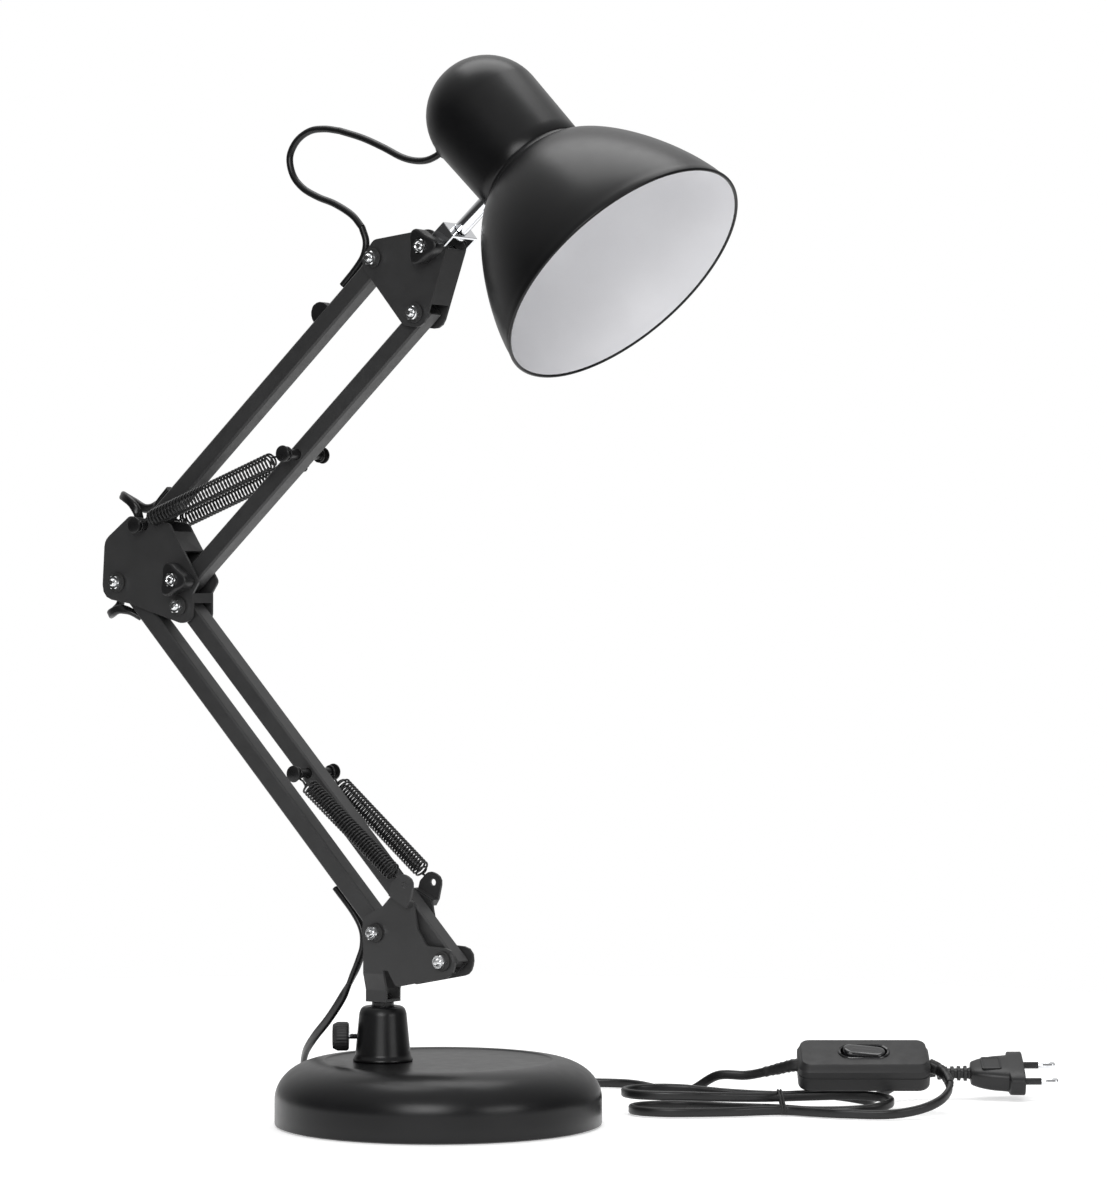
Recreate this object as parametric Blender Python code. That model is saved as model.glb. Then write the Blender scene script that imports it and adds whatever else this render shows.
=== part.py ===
"""Architect desk lamp: weighted round base, parallelogram arms, springs, tilting reflector, mains lead.

Lengths are millimetres here and become metres when a mesh is made. The arms move in the plane
Y = 0, the reflector is towards +X, and Z = 0 is the table. The origin is on the swivel axis.
"""

import math

import bmesh
import bpy
from mathutils import Matrix, Vector

MM = 0.001
GAP = 0.3  # clearance between pieces that touch

# ---- driving dimensions ------------------------------------------------------------------------

ARM_SIZE = 10.5        # square arm tube, across flats
ARM_WALL = 1.0
ARM_OVERHANG = 5.0     # tube past its pivot
SHEET = 1.5            # folded bracket steel
PLATE_Y = 9.0          # outer face of a bracket plate
BOLT_R = 2.0
BOLT_HOLE_R = 2.5
BUSH_R = 4.0
PEG_R = 2.6
PEG_DISC_R = 4.2
PEG_END_Y = 18.5
SPRING_R = 5.0
SPRING_Y = 14.3        # spring centreline from the arm plane

# pivots in the arm plane, (X, Z)
LOWER_BACK = Vector((2.0, 104.0))
LOWER_LINK = Vector((44.8, -13.2))       # back pivot to front pivot, on both ends of the lower arms
LOWER_ARM = Vector((-182.3, 189.0))      # foot pivot to elbow pivot
UPPER_BACK = Vector((-161.3, 325.0))
UPPER_LINK = Vector((28.2, -30.6))
UPPER_ARM = Vector((161.9, 142.4))
LOWER_FRONT = LOWER_BACK + LOWER_LINK
ELBOW_BACK = LOWER_BACK + LOWER_ARM
ELBOW_FRONT = ELBOW_BACK + LOWER_LINK
UPPER_FRONT = UPPER_BACK + UPPER_LINK
HEAD_BACK = UPPER_BACK + UPPER_ARM
HEAD_FRONT = HEAD_BACK + UPPER_LINK
NECK_PIVOT = Vector((40.8, 471.3))

LOWER_HOOK = Vector((24.7, 131.0))       # eye of the lower springs
LOWER_HOOK_Y = 12.8
LOWER_PEG = LOWER_FRONT + 136.0 * LOWER_ARM.normalized()
UPPER_PEG = UPPER_FRONT + 103.8 * UPPER_ARM.normalized()

BASE_CENTRE = Vector((24.6, 17.2))
BASE_R = 88.5
BASE_H = 35.0
BASE_WALL = 1.2
BASE_EDGE_Z = 14.0                       # where the vertical wall starts to round over
BASE_FLAT_R = 62.5
BASE_RECESS = 0.8
POST_R_FOOT = 15.0
POST_R_TOP = 12.6
POST_TOP_Z = 64.0
SPIGOT_R = 6.0
SCREW_Z = 47.5
ROOM_RIGHT = Vector((math.cos(math.radians(35)), math.sin(math.radians(35)), 0.0))  # across the lead's bundle
ROOM_BACK = Vector((-ROOM_RIGHT.y, ROOM_RIGHT.x, 0.0))

SHADE_TILT = math.radians(-45)           # reflector axis below horizontal
SHADE_AXIS = Vector((math.cos(SHADE_TILT), 0.0, math.sin(SHADE_TILT)))
DOME_CENTRE = Vector((69.4, 0.0, 540.4))
DOME_R = 32.4
THROAT_R = 31.0
THROAT_S = 46.0                          # along the axis from the dome's centre
RIM_R = 73.0
RIM_S = 124.0
SHADE_WALL = 1.0
CORD_OUTLET = Vector((-math.cos(math.radians(30)), 0.0, -math.sin(math.radians(30))))  # from the dome's centre
ROD_DIRECTION = Vector((math.cos(math.radians(40)), 0.0, math.sin(math.radians(40))))
ROD_R = 4.0

HEAD_CORD_R = 1.9
MAINS_CORD_R = 2.6
ELBOW_CORD_R = 1.8

# ---- leads: routes by hand, from each exit on ------------------------------------------------------

HEAD_CORD_SHADE = [
    (38.2, 0, 522.4), (35.0, 0, 520.8), (29.0, 0, 519.2), (21.0, 0, 519.6), (12.0, 0, 522.2), (0.0, 0, 528.0),
    (-14.0, 0, 533.9), (-29.4, 0, 538.7),
]
HEAD_CORD_LOOP = [
    (-30.4, 0, 539.0), (-39.8, 0, 540.4), (-50.2, 0, 539.9), (-59.3, 0, 535.0), (-64.2, 0, 526.5), (-62.0, 0, 516.5),
    (-55.1, 0, 509.0), (-44.6, 0, 503.5), (-32.9, 0, 499.1), (-21.2, 0, 492.5), (-14.3, 0, 485.5), (-11.5, 0, 477.5),
    (-13.2, 0, 469.8), (-19.0, 0, 462.6), (-27.5, 0, 454.5),
]
ELBOW_CORD = [
    (-157.0, 0, 340.5), (-165.0, 0, 339.5), (-176.0, 0, 342.5), (-183.0, 0, 339.5), (-182.5, 0, 331.0), (-180.5, 0, 320.0),
    (-186.0, 0, 308.0), (-190.4, 0, 297.0), (-191.4, 0, 287.0), (-191.6, 0, 279.0), (-186.5, 0, 273.6), (-178.5, 0, 275.4),
]
MAINS_CORD_ARM = [(-32.0, 0, 126.5), (-19.6, 0, 113.6), (-13.8, 0, 104.4), (-13.2, 0, 95.6), (-16.0, 0, 88.0)]
MAINS_CORD_FLOOR = [
    (-16.3, 0, 87.4), (-19.5, 0.4, 81.5), (-28.3, 1.5, 67.7), (-41.0, 5.0, 54.3), (-56.0, 11.0, 42.5), (-69.0, 19.5, 32.0),
    (-78.0, 30.0, 20.0), (-81.5, 44.0, 9.0), (-81.0, 60.0, 3.2), (-77.0, 84.0, 2.8), (-69.0, 112.0, 2.8), (-56.0, 142.0, 2.8),
    (-38.0, 172.0, 2.8), (-16.0, 197.0, 2.8), (6.0, 211.0, 2.8),
]

MAINS_CORD_BUNDLE = [                    # the same lead on to the switch: across, behind, up
    (141.0, 160.0, 2.8), (154.0, 134.0, 2.8), (163.0, 108.0, 3.6), (171.0, 86.0, 9.0), (184.0, 77.0, 17.6),
    (200.0, 73.0, 18.2), (214.0, 67.5, 21.6), (224.8, 61.3, 24.9),
]
HANK_CENTRE = (221.0, 46.0)              # across and behind, in the bundle's own directions
HANK_LENGTH = 176.0
HANK_WIDTH = 60.0
HANK_H = 8.4
HANK_HIGH_H = 14.6                      # where the turns lie two high, left of the tie
HANK_HIGH_END = 212.0
LEAN = math.radians(24)                  # switch and plug lean towards the front
SWITCH_SIZE = Vector((73.0, 31.0, 17.0))
SWITCH_CENTRE = (264.0, 60.0, 25.2)
ROCKER_PIVOT_UP = 6.4                    # above the switch's centre, in its own frame
ROCKER_REST = math.radians(6)
PLUG_START = (309.5, 118.0, 14.2)
PLUG_CORD = [
    (268.0, 79.6, 3.4), (272.0, 88.0, 3.6), (278.0, 98.0, 5.6), (287.5, 108.5, 9.6), (298.0, 115.6, 13.0),
    (308.6, 118.0, 14.2),
]

# ---- bodies: each moving body's empty stands on its joint's axis ----------------------------------


def in_plane(p, y=0.0):
    return Vector((p.x, y, p.y))


def place(right, back, z=0.0):
    """A point of the lead's bundle: across it, behind it, and up."""
    return ROOM_RIGHT * right + ROOM_BACK * back + Vector((0, 0, z))


def leaning(centre):
    """Local frame of a piece that lies along the bundle and leans to the front: length, width, up."""
    tilt = Matrix.Rotation(LEAN, 3, ROOM_RIGHT)
    axes = Matrix((ROOM_RIGHT, tilt @ ROOM_BACK, tilt @ Vector((0, 0, 1)))).transposed()
    return Matrix.Translation(place(*centre)) @ axes.to_4x4()


BODY_PIVOTS = {
    "root": Vector((0, 0, 0)),
    "thumbscrew": Vector((0, 0, SCREW_Z)),
    "foot": Vector((0, 0, 0)),
    "lower_arm_rear": in_plane(LOWER_BACK),
    "lower_arm_fore": in_plane(LOWER_FRONT),
    "lower_springs": in_plane(LOWER_HOOK),
    "elbow": in_plane(ELBOW_BACK),
    "elbow_lock": in_plane(UPPER_FRONT),
    "upper_arm_rear": in_plane(UPPER_BACK),
    "upper_arm_fore": in_plane(UPPER_FRONT),
    "upper_springs": in_plane(UPPER_BACK),
    "upper_spring_ends": in_plane(UPPER_PEG),
    "head": in_plane(HEAD_BACK),
    "head_lock": in_plane(NECK_PIVOT),
    "neck": in_plane(NECK_PIVOT),
    "shade_body": in_plane(NECK_PIVOT),
    "rocker": leaning(SWITCH_CENTRE) @ Vector((0, 0, ROCKER_PIVOT_UP)),
}

MATERIALS = {}
EMPTIES = {}


def clear_scene():
    for obj in list(bpy.data.objects):
        bpy.data.objects.remove(obj)


def material(name, colour, roughness, metallic=0.0):
    mat = bpy.data.materials.new(name)
    mat.use_nodes = True
    shader = mat.node_tree.nodes["Principled BSDF"]
    shader.inputs["Base Color"].default_value = (*colour, 1.0)
    shader.inputs["Roughness"].default_value = roughness
    shader.inputs["Metallic"].default_value = metallic
    MATERIALS[name] = mat


def make_materials():
    material("gloss_black", (0.012, 0.012, 0.013), 0.28)
    material("satin_black", (0.035, 0.035, 0.036), 0.5)
    material("chrome", (0.82, 0.83, 0.85), 0.12, 1.0)
    material("black_steel", (0.02, 0.02, 0.02), 0.35, 0.6)
    material("black_plastic", (0.018, 0.018, 0.018), 0.55)
    material("black_rubber", (0.015, 0.015, 0.015), 0.7)
    material("cast_iron", (0.09, 0.09, 0.09), 0.8, 0.7)


def make_bodies():
    for name, pivot in BODY_PIVOTS.items():
        empty = bpy.data.objects.new("body_" + name, None)
        empty.location = pivot * MM
        bpy.context.scene.collection.objects.link(empty)
        EMPTIES[name] = empty


# ---- mesh helpers ----------------------------------------------------------------------------------


def add_object(name, data):
    obj = bpy.data.objects.new(name, data)
    bpy.context.scene.collection.objects.link(obj)
    return obj


def to_mesh(name, bm):
    bmesh.ops.recalc_face_normals(bm, faces=bm.faces)
    bmesh.ops.scale(bm, vec=(MM, MM, MM), verts=bm.verts)
    mesh = bpy.data.meshes.new(name)
    bm.to_mesh(mesh)
    bm.free()
    mesh.shade_smooth()
    mesh.set_sharp_from_angle(angle=math.radians(35))
    return mesh


def node(name, bm, slot, body):
    """A finished sub-part: its mesh moves to its body's pivot, and it hangs from that body's empty."""
    bmesh.ops.translate(bm, vec=-BODY_PIVOTS[body], verts=bm.verts)
    obj = add_object(name, to_mesh(name, bm))
    obj.data.materials.append(MATERIALS[slot])
    obj.parent = EMPTIES[body]
    return obj


def tool(name, bm):
    """A hidden solid that only cuts or joins."""
    obj = add_object(name, to_mesh(name, bm))
    obj.hide_render = True
    obj.display_type = "WIRE"
    return obj


def combine(obj, bm, operation):
    modifier = obj.modifiers.new(operation.lower(), "BOOLEAN")
    modifier.operation = operation
    modifier.solver = "EXACT"
    modifier.object = tool(f"{obj.name}_{operation.lower()}_{len(obj.modifiers)}", bm)


def cut(obj, bm):
    combine(obj, bm, "DIFFERENCE")


def join(obj, bm):
    combine(obj, bm, "UNION")


def skin(bm, rings, closed):
    """Faces between successive rings of points; a ring of one point is a pole."""
    made = [[bm.verts.new(p) for p in ring] for ring in rings]
    pairs = list(zip(made, made[1:]))
    if closed:
        pairs.append((made[-1], made[0]))
    for a, b in pairs:
        count = max(len(a), len(b))
        for i in range(count):
            j = (i + 1) % count
            corners = [a[i % len(a)], a[j % len(a)], b[j % len(b)], b[i % len(b)]]
            face = list(dict.fromkeys(corners))
            if len(face) > 2:
                bm.faces.new(face)
    return bm


def frame_of(axis):
    """Two unit vectors square to the axis."""
    axis = axis.normalized()
    side = Vector((0, 1, 0)) if abs(axis.y) < 0.9 else Vector((1, 0, 0))
    u = (side - side.dot(axis) * axis).normalized()
    return u, axis.cross(u)


def turned(profile, start, axis, steps, closed):
    """A profile of (radius, distance along the axis), turned about the axis."""
    u, v = frame_of(axis)
    axis = axis.normalized()
    rings = []
    for radius, along in profile:
        centre = start + axis * along
        if radius == 0:
            rings.append([centre])
            continue
        turn = [2 * math.pi * i / steps for i in range(steps)]
        rings.append([centre + radius * (math.cos(t) * u + math.sin(t) * v) for t in turn])
    return skin(bmesh.new(), rings, closed)


def rod(start, end, radius, steps=16):
    length = (end - start).length
    return turned([(0, 0), (radius, 0), (radius, length), (0, length)], start, end - start, steps, False)


def cross_rod(p, radius, y0, y1, steps=16):
    """A round bar across the arm plane."""
    return rod(in_plane(p, y0), in_plane(p, y1), radius, steps)


def merged(*parts):
    """Several separate tool solids as one."""
    whole = bmesh.new()
    for part in parts:
        mesh = bpy.data.meshes.new("part")
        part.to_mesh(mesh)
        part.free()
        whole.from_mesh(mesh)
        bpy.data.meshes.remove(mesh)
    return whole


def rounded(points, steps=3):
    """A closed outline from (x, z, corner radius); a radius of 0 leaves the corner sharp."""
    outline = []
    count = len(points)
    for i, (x, z, radius) in enumerate(points):
        here = Vector((x, z))
        before = Vector(points[i - 1][:2])
        after = Vector(points[(i + 1) % count][:2])
        a = (before - here).normalized()
        b = (after - here).normalized()
        if radius == 0:
            outline.append(here)
            continue
        half = a.angle(b) / 2
        reach = min(radius / math.tan(half), 0.49 * (before - here).length, 0.49 * (after - here).length)
        radius = reach * math.tan(half)
        centre = here + (a + b).normalized() * (radius / math.sin(half))
        first = here + a * reach - centre
        last = here + b * reach - centre
        turn = first.angle_signed(last)
        for k in range(steps + 1):
            angle = -turn * k / steps
            c, s = math.cos(angle), math.sin(angle)
            outline.append(centre + Vector((c * first.x - s * first.y, s * first.x + c * first.y)))
    return outline


def extruded(near, far):
    """A solid between two copies of one closed outline."""
    bm = bmesh.new()
    a = [bm.verts.new(p) for p in near]
    b = [bm.verts.new(p) for p in far]
    count = len(a)
    for i in range(count):
        j = (i + 1) % count
        bm.faces.new((a[i], a[j], b[j], b[i]))
    caps = [bm.faces.new(a), bm.faces.new(b)]
    bm.normal_update()
    bmesh.ops.triangulate(bm, faces=caps)
    return bm


def prism(outline, y0, y1):
    """An outline in the arm plane, extruded across it."""
    return extruded([in_plane(p, y0) for p in outline], [in_plane(p, y1) for p in outline])


def ring_prism(outer, inner, y0, y1):
    """Two outlines of the same number of points: a plate with a hole."""
    rings = [[in_plane(p, y) for p in line] for line, y in ((outer, y0), (outer, y1), (inner, y1), (inner, y0))]
    return skin(bmesh.new(), rings, True)


def circle(centre, radius, steps):
    turn = [2 * math.pi * i / steps for i in range(steps)]
    return [centre + radius * Vector((math.cos(t), math.sin(t))) for t in turn]


def catmull(points, spacing):
    """Points about `spacing` apart on a smooth curve through the route's own points."""
    ends = [2 * points[0] - points[1], *points, 2 * points[-1] - points[-2]]
    line = []
    for a, b, c, d in zip(ends, ends[1:], ends[2:], ends[3:]):
        steps = max(1, round((c - b).length / spacing))
        for k in range(steps):
            t = k / steps
            line.append(
                0.5 * (2 * b + (c - a) * t + (2 * a - 5 * b + 4 * c - d) * t**2 + (3 * b - a - 3 * c + d) * t**3)
            )
    line.append(points[-1])
    return line


def cord(name, route, radius, body, slot="black_rubber", spacing=3.0):
    """A lead as a bevelled curve through its route, in millimetres."""
    curve = bpy.data.curves.new(name, "CURVE")
    curve.dimensions = "3D"
    curve.bevel_depth = radius * MM
    curve.bevel_resolution = 2
    curve.use_fill_caps = True
    points = catmull([Vector(p) for p in route], spacing * 2 * radius)
    spline = curve.splines.new("POLY")
    spline.points.add(len(points) - 1)
    for made, p in zip(spline.points, points):
        made.co = (*((p - BODY_PIVOTS[body]) * MM), 1.0)
    obj = add_object(name, curve)
    curve.materials.append(MATERIALS[slot])
    obj.parent = EMPTIES[body]
    return obj


# ---- fasteners --------------------------------------------------------------------------------------


def bolt(name, p, rear_y, front_y, body, slot="chrome"):
    """Pan-head bolt from the rear, its head at rear_y and its tip at front_y."""
    head = [(0, 0), (3.4, 0), (3.9, 0.5), (3.9, 1.6), (2.9, 2.6), (0, 2.9)]
    shank = [(0, rear_y - front_y), (BOLT_R - 0.4, rear_y - front_y), (BOLT_R, rear_y - front_y - 0.6), (BOLT_R, 0)]
    profile = [(r, -along) for r, along in shank] + [(r, along) for r, along in head[1:]]
    return node(name, turned(profile, in_plane(p, rear_y), Vector((0, 1, 0)), 12, False), slot, body)


def nut(name, p, front_y, body, across=7.0, thick=3.2, bore=BOLT_R + GAP, slot="chrome"):
    corner = across / math.sqrt(3)
    points = [corner * Vector((math.cos(math.radians(60 * i)), math.sin(math.radians(60 * i)))) for i in range(6)]
    outer = []
    for a, b in zip(points, points[1:] + points[:1]):
        outer += [p + a, p + (a + b) / 2]
    return node(name, ring_prism(outer, circle(p, bore, 12), front_y - thick, front_y), slot, body)


def pivot_pair(stem, p, body):
    """Bolt and nut through both plates of a bracket; a washer lies under the nut."""
    bolt(stem + "_bolt", p, PLATE_Y + GAP, -PLATE_Y - 6.6, body)
    nut(stem + "_nut", p, -PLATE_Y - 1.5, body)


def tri_knob(name, p, y0, y1, turn, body):
    """Three-cornered clamping knob with a bore for its bolt."""
    steps = 36
    outer = []
    for i in range(steps):
        t = 2 * math.pi * i / steps
        lobe = math.cos(3 * (t - math.radians(turn)))
        radius = 8.2 + 1.8 * lobe + 0.4 * lobe**2
        outer.append(p + radius * Vector((math.cos(t), math.sin(t))))
    return node(name, ring_prism(outer, circle(p, BOLT_R + GAP, steps), y0, y1), "black_plastic", body)


def peg(name, p, body):
    """Cross peg with a disc at each end; the spring eyes hang on it inside the discs."""
    profile = [(0, 0), (PEG_DISC_R, 0), (PEG_DISC_R, 1.4), (PEG_R, 1.4)]
    length = 2 * PEG_END_Y
    profile += [(r, length - along) for r, along in reversed(profile)]
    return node(name, turned(profile, in_plane(p, -PEG_END_Y), Vector((0, 1, 0)), 16, False), "black_steel", body)


# ---- arms ---------------------------------------------------------------------------------------------


def arm(name, start, end, body, peg_at=None):
    """Square tube from pivot to pivot, with a bush through each end that spaces it in its bracket."""
    along = (end - start).normalized()
    across = Vector((-along.y, along.x))
    length = (end - start).length

    def section(size, corner):
        half = size / 2
        points = [(half, half - corner), (half - corner, half), (corner - half, half), (-half, half - corner)]
        return points + [(-a, -b) for a, b in points]

    def ring(size, corner, distance):
        centre = start + along * distance
        return [in_plane(centre + across * v, y) for y, v in section(size, corner)]

    low, high = -ARM_OVERHANG, length + ARM_OVERHANG
    inner = ARM_SIZE - 2 * ARM_WALL
    rings = [ring(ARM_SIZE, 1.0, low), ring(ARM_SIZE, 1.0, high), ring(inner, 0.6, high), ring(inner, 0.6, low)]
    obj = node(name, skin(bmesh.new(), rings, True), "satin_black", body)
    bush_y = PLATE_Y - SHEET - GAP
    join(obj, merged(*[cross_rod(p, BUSH_R, -bush_y, bush_y, 12) for p in (start, end)]))
    holes = [cross_rod(p, BOLT_HOLE_R if p != UPPER_BACK else PEG_R + 0.45, -20, 20, 12) for p in (start, end)]
    if peg_at:
        holes.append(cross_rod(peg_at, PEG_R + GAP, -20, 20, 12))
    cut(obj, merged(*holes))
    return obj


def make_arms():
    arm("lower_arm_back", LOWER_BACK, ELBOW_BACK, "lower_arm_rear")
    arm("lower_arm_front", LOWER_FRONT, ELBOW_FRONT, "lower_arm_fore", LOWER_PEG)
    arm("upper_arm_back", UPPER_BACK, HEAD_BACK, "upper_arm_rear")
    arm("upper_arm_front", UPPER_FRONT, HEAD_FRONT, "upper_arm_fore", UPPER_PEG)
    peg("lower_spring_peg", LOWER_PEG, "lower_arm_fore")
    peg("upper_spring_peg", UPPER_PEG, "upper_arm_fore")
    clip_at = HEAD_BACK - 49.5 * UPPER_ARM.normalized()
    make_cord_clip(clip_at)


def make_cord_clip(p):
    """Half-round moulded clip on the back face of the rear upper arm."""
    along = UPPER_ARM.normalized()
    out = Vector((-along.y, along.x))
    foot = p + out * (ARM_SIZE / 2 + GAP)
    arc = [math.pi * i / 10 for i in range(11)]
    outline = [foot + 6.5 * math.cos(t) * along + 7.5 * math.sin(t) * out for t in arc]
    node("cord_clip", prism(outline, -3.0, 3.0), "black_plastic", "upper_arm_rear")


# ---- springs ------------------------------------------------------------------------------------------


def spring_solid(start, end, clear_start, clear_end):
    """Envelope of a coil spring: an open-ended sleeve with a narrow neck at each eye."""
    length = (end - start).length
    neck, taper, wall = 9.0, 3.0, 0.55
    outer = [(1.5, clear_start), (1.5, neck), (SPRING_R, neck + taper)]
    outer += [(SPRING_R, length - neck - taper), (1.5, length - neck), (1.5, length - clear_end)]
    inner = [(r - wall, along) for r, along in reversed(outer)]
    return turned(outer + inner, start, end - start, 12, True)


def make_springs():
    clear = PEG_R + 0.5
    for side, sign in (("front", -1), ("rear", 1)):
        low = in_plane(LOWER_HOOK, sign * LOWER_HOOK_Y)
        high = in_plane(LOWER_PEG, sign * SPRING_Y)
        node(f"lower_spring_{side}", spring_solid(low, high, 7.0, clear), "black_steel", "lower_springs")
        low = in_plane(UPPER_BACK, sign * SPRING_Y)
        high = in_plane(UPPER_PEG, sign * SPRING_Y)
        node(f"upper_spring_{side}", spring_solid(low, high, clear, clear + 1.3), "black_steel", "upper_springs")
        outer = circle(UPPER_PEG, PEG_R + 1.3, 16)
        inner = circle(UPPER_PEG, PEG_R + GAP, 16)
        y = sign * SPRING_Y
        node(f"upper_spring_eye_{side}", ring_prism(outer, inner, y - 0.5, y + 0.5), "black_steel", "upper_spring_ends")


# ---- brackets -----------------------------------------------------------------------------------------


def between_plates(low, high, webs):
    """Everything between two plates except the folded webs, which run anticlockwise as (start, end)."""
    outline = [Vector((low[0], high[1])), Vector(low), Vector((high[0], low[1]))]
    for start, end in webs:
        start, end = Vector(start), Vector(end)
        along = (end - start).normalized()
        inward = SHEET * Vector((-along.y, along.x))
        outline += [start - 30 * inward, start + inward, end + inward, end - 30 * inward]
    return outline + [Vector(high)]


def folded_bracket(name, corners, inside, body):
    """Two plates and the folded webs that join them."""
    obj = node(name, prism(rounded(corners), -PLATE_Y, PLATE_Y), "satin_black", body)
    cut(obj, prism(inside, SHEET - PLATE_Y, PLATE_Y - SHEET))
    return obj


def make_elbow():
    corners = [
        (-172.0, 330.5, 4), (-190.5, 317.0, 8), (-192.5, 284.5, 8), (-171.0, 281.0, 0),
        (-134.0, 270.0, 8), (-126.0, 272.5, 4), (-126.0, 281.5, 0), (-126.0, 287.0, 0), (-121.5, 293.5, 3),
        (-132.8, 310.5, 0), (-140.2, 321.5, 0), (-143.0, 326.0, 3),
    ]
    webs = [((-126.0, 281.5), (-126.0, 287.0)), ((-132.8, 310.5), (-140.2, 321.5))]
    obj = folded_bracket("elbow_bracket", corners, between_plates((-230, 250), (-60, 380), webs), "elbow")
    pins = [cross_rod(p, BOLT_HOLE_R, -20, 20, 12) for p in (ELBOW_BACK, ELBOW_FRONT, UPPER_FRONT)]
    cut(obj, merged(*pins, cross_rod(UPPER_BACK, PEG_R + GAP, -20, 20, 16)))
    pivot_pair("elbow_pivot_back", ELBOW_BACK, "elbow")
    pivot_pair("elbow_pivot_front", ELBOW_FRONT, "elbow")
    peg("elbow_spring_peg", UPPER_BACK, "elbow")
    bolt("elbow_lock_bolt", UPPER_FRONT, PLATE_Y + GAP, -PLATE_Y - 12.0, "elbow")
    tri_knob("elbow_knob", UPPER_FRONT, -PLATE_Y - 10.3, -PLATE_Y - GAP, 114, "elbow_lock")


def make_head_bracket():
    corners = [
        (-9.5, 466.0, 7), (0.5, 477.5, 5), (38.0, 481.5, 7), (50.5, 474.0, 5),
        (34.0, 428.5, 7), (20.5, 430.5, 7),
    ]
    webs = [((38.6, 441.2), (49.2, 470.4))]
    obj = folded_bracket("head_bracket", corners, between_plates((-40, 390), (120, 520), webs), "head")
    pins = [cross_rod(p, BOLT_HOLE_R, -20, 20, 12) for p in (HEAD_BACK, HEAD_FRONT, NECK_PIVOT)]
    cut(obj, merged(*pins))
    pivot_pair("head_pivot_back", HEAD_BACK, "head")
    pivot_pair("head_pivot_front", HEAD_FRONT, "head")


def make_foot_bracket():
    """Two plates on a funnel-shaped neck that is riveted to the spigot, with an outset tab on each plate."""
    corners = [
        (-6.6, 66.5, 0), (-6.6, 95.0, 3), (-7.5, 112.0, 8), (6.0, 118.0, 2), (15.0, 127.0, 0), (27.0, 121.5, 1),
        (30.0, 107.0, 3), (36.0, 98.5, 3), (56.0, 97.5, 7), (53.5, 83.0, 7), (15.5, 75.5, 3), (10.0, 84.0, 0),
        (7.0, 84.0, 0), (7.0, 66.5, 0),
    ]
    inside = PLATE_Y - SHEET
    obj = node("foot_bracket", prism(rounded(corners), -PLATE_Y, PLATE_Y), "satin_black", "foot")
    between = [(-30, 82.4), (-30, 150), (80, 150), (80, 60), (7.1, 60), (7.1, 82.4)]
    cut(obj, prism([Vector(p) for p in between], -inside, inside))
    funnel = [(inside - 0.01, 83.0), (inside - 0.01, 82.2), (5.1, 73.4), (5.1, 68.0)]
    cut(obj, across_neck(funnel + [(-y, z) for y, z in reversed(funnel)], -30.0, 30.0))
    slope = [(PLATE_Y + 0.3, 83.0), (6.6, 73.0), (6.6, 60.0), (14.0, 60.0), (14.0, 83.0)]
    mirrored = [(-y, z) for y, z in slope]
    cut(obj, merged(across_neck(slope, -30.0, 7.2), across_neck(mirrored, -30.0, 7.2)))
    tab = rounded([
        (14.0, 124.8, 0), (15.8, 131.5, 2), (22.0, 137.5, 5), (31.0, 134.0, 5), (28.2, 122.0, 0), (26.0, 118.5, 0),
    ])
    relief = [Vector(p) for p in ((10, 130.2), (34, 119.0), (40, 140), (15, 145))]
    outer_y = LOWER_HOOK_Y + SHEET / 2
    for sign in (-1, 1):
        join(obj, prism(tab, *sorted((sign * (PLATE_Y - SHEET / 2), sign * outer_y))))
    for sign in (-1, 1):
        cut(obj, prism(relief, *sorted((sign * 6.0, sign * (outer_y - SHEET)))))
    pins = [cross_rod(p, BOLT_HOLE_R, -20, 20, 12) for p in (LOWER_BACK, LOWER_FRONT)]
    rivet = rod(Vector((0, 0, 60)), Vector((0, 0, 76)), 3.3, 12)
    eyes = cross_rod(LOWER_HOOK, 1.9, -20, 20, 12)
    cut(obj, merged(*pins, rivet, eyes))
    pivot_pair("foot_pivot_back", LOWER_BACK, "foot")
    pivot_pair("foot_pivot_front", LOWER_FRONT, "foot")


def across_neck(section, x0, x1):
    """A section given as (Y, Z), extruded along X."""
    return extruded([Vector((x0, y, z)) for y, z in section], [Vector((x1, y, z)) for y, z in section])


# ---- base ---------------------------------------------------------------------------------------------


def shoulder(radius, drop, steps=5):
    """Outer or inner line of the cover, from its rim up over the shoulder to the recessed top."""
    line = []
    for i in range(steps + 1):
        t = math.pi / 2 * i / steps
        r = BASE_FLAT_R + (radius - BASE_FLAT_R) * math.cos(t)
        z = BASE_EDGE_Z + (BASE_H - drop - BASE_EDGE_Z) * math.sin(t)
        line.append((r, z))
    line.append((BASE_FLAT_R - 3.0, BASE_H - BASE_RECESS - drop))
    return line


def make_base():
    centre = Vector((BASE_CENTRE.x, BASE_CENTRE.y, 0))
    up = Vector((0, 0, 1))
    outer = [(BASE_R - 0.5, 0.8), (BASE_R, 1.4)] + shoulder(BASE_R, 0)
    inner = [(BASE_R - BASE_WALL, 0.8)] + shoulder(BASE_R - BASE_WALL, BASE_WALL)
    profile = outer + [(0, outer[-1][1]), (0, inner[-1][1])] + list(reversed(inner))
    cover = node("base_cover", turned(profile, centre, up, 40, True), "gloss_black", "root")
    cut(cover, rod(Vector((0, 0, 20)), Vector((0, 0, 50)), 5.6, 16))
    weight = [(0, 2.4), (84.0, 2.4), (84.0, 9.5), (82.0, 11.5), (0, 11.5)]
    node("base_weight", turned(weight, centre, up, 40, False), "cast_iron", "root")
    pad = [(0, 0), (86.0, 0), (86.0, 2.1), (0, 2.1)]
    node("base_pad", turned(pad, centre, up, 40, False), "black_rubber", "root")
    make_socket()


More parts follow.
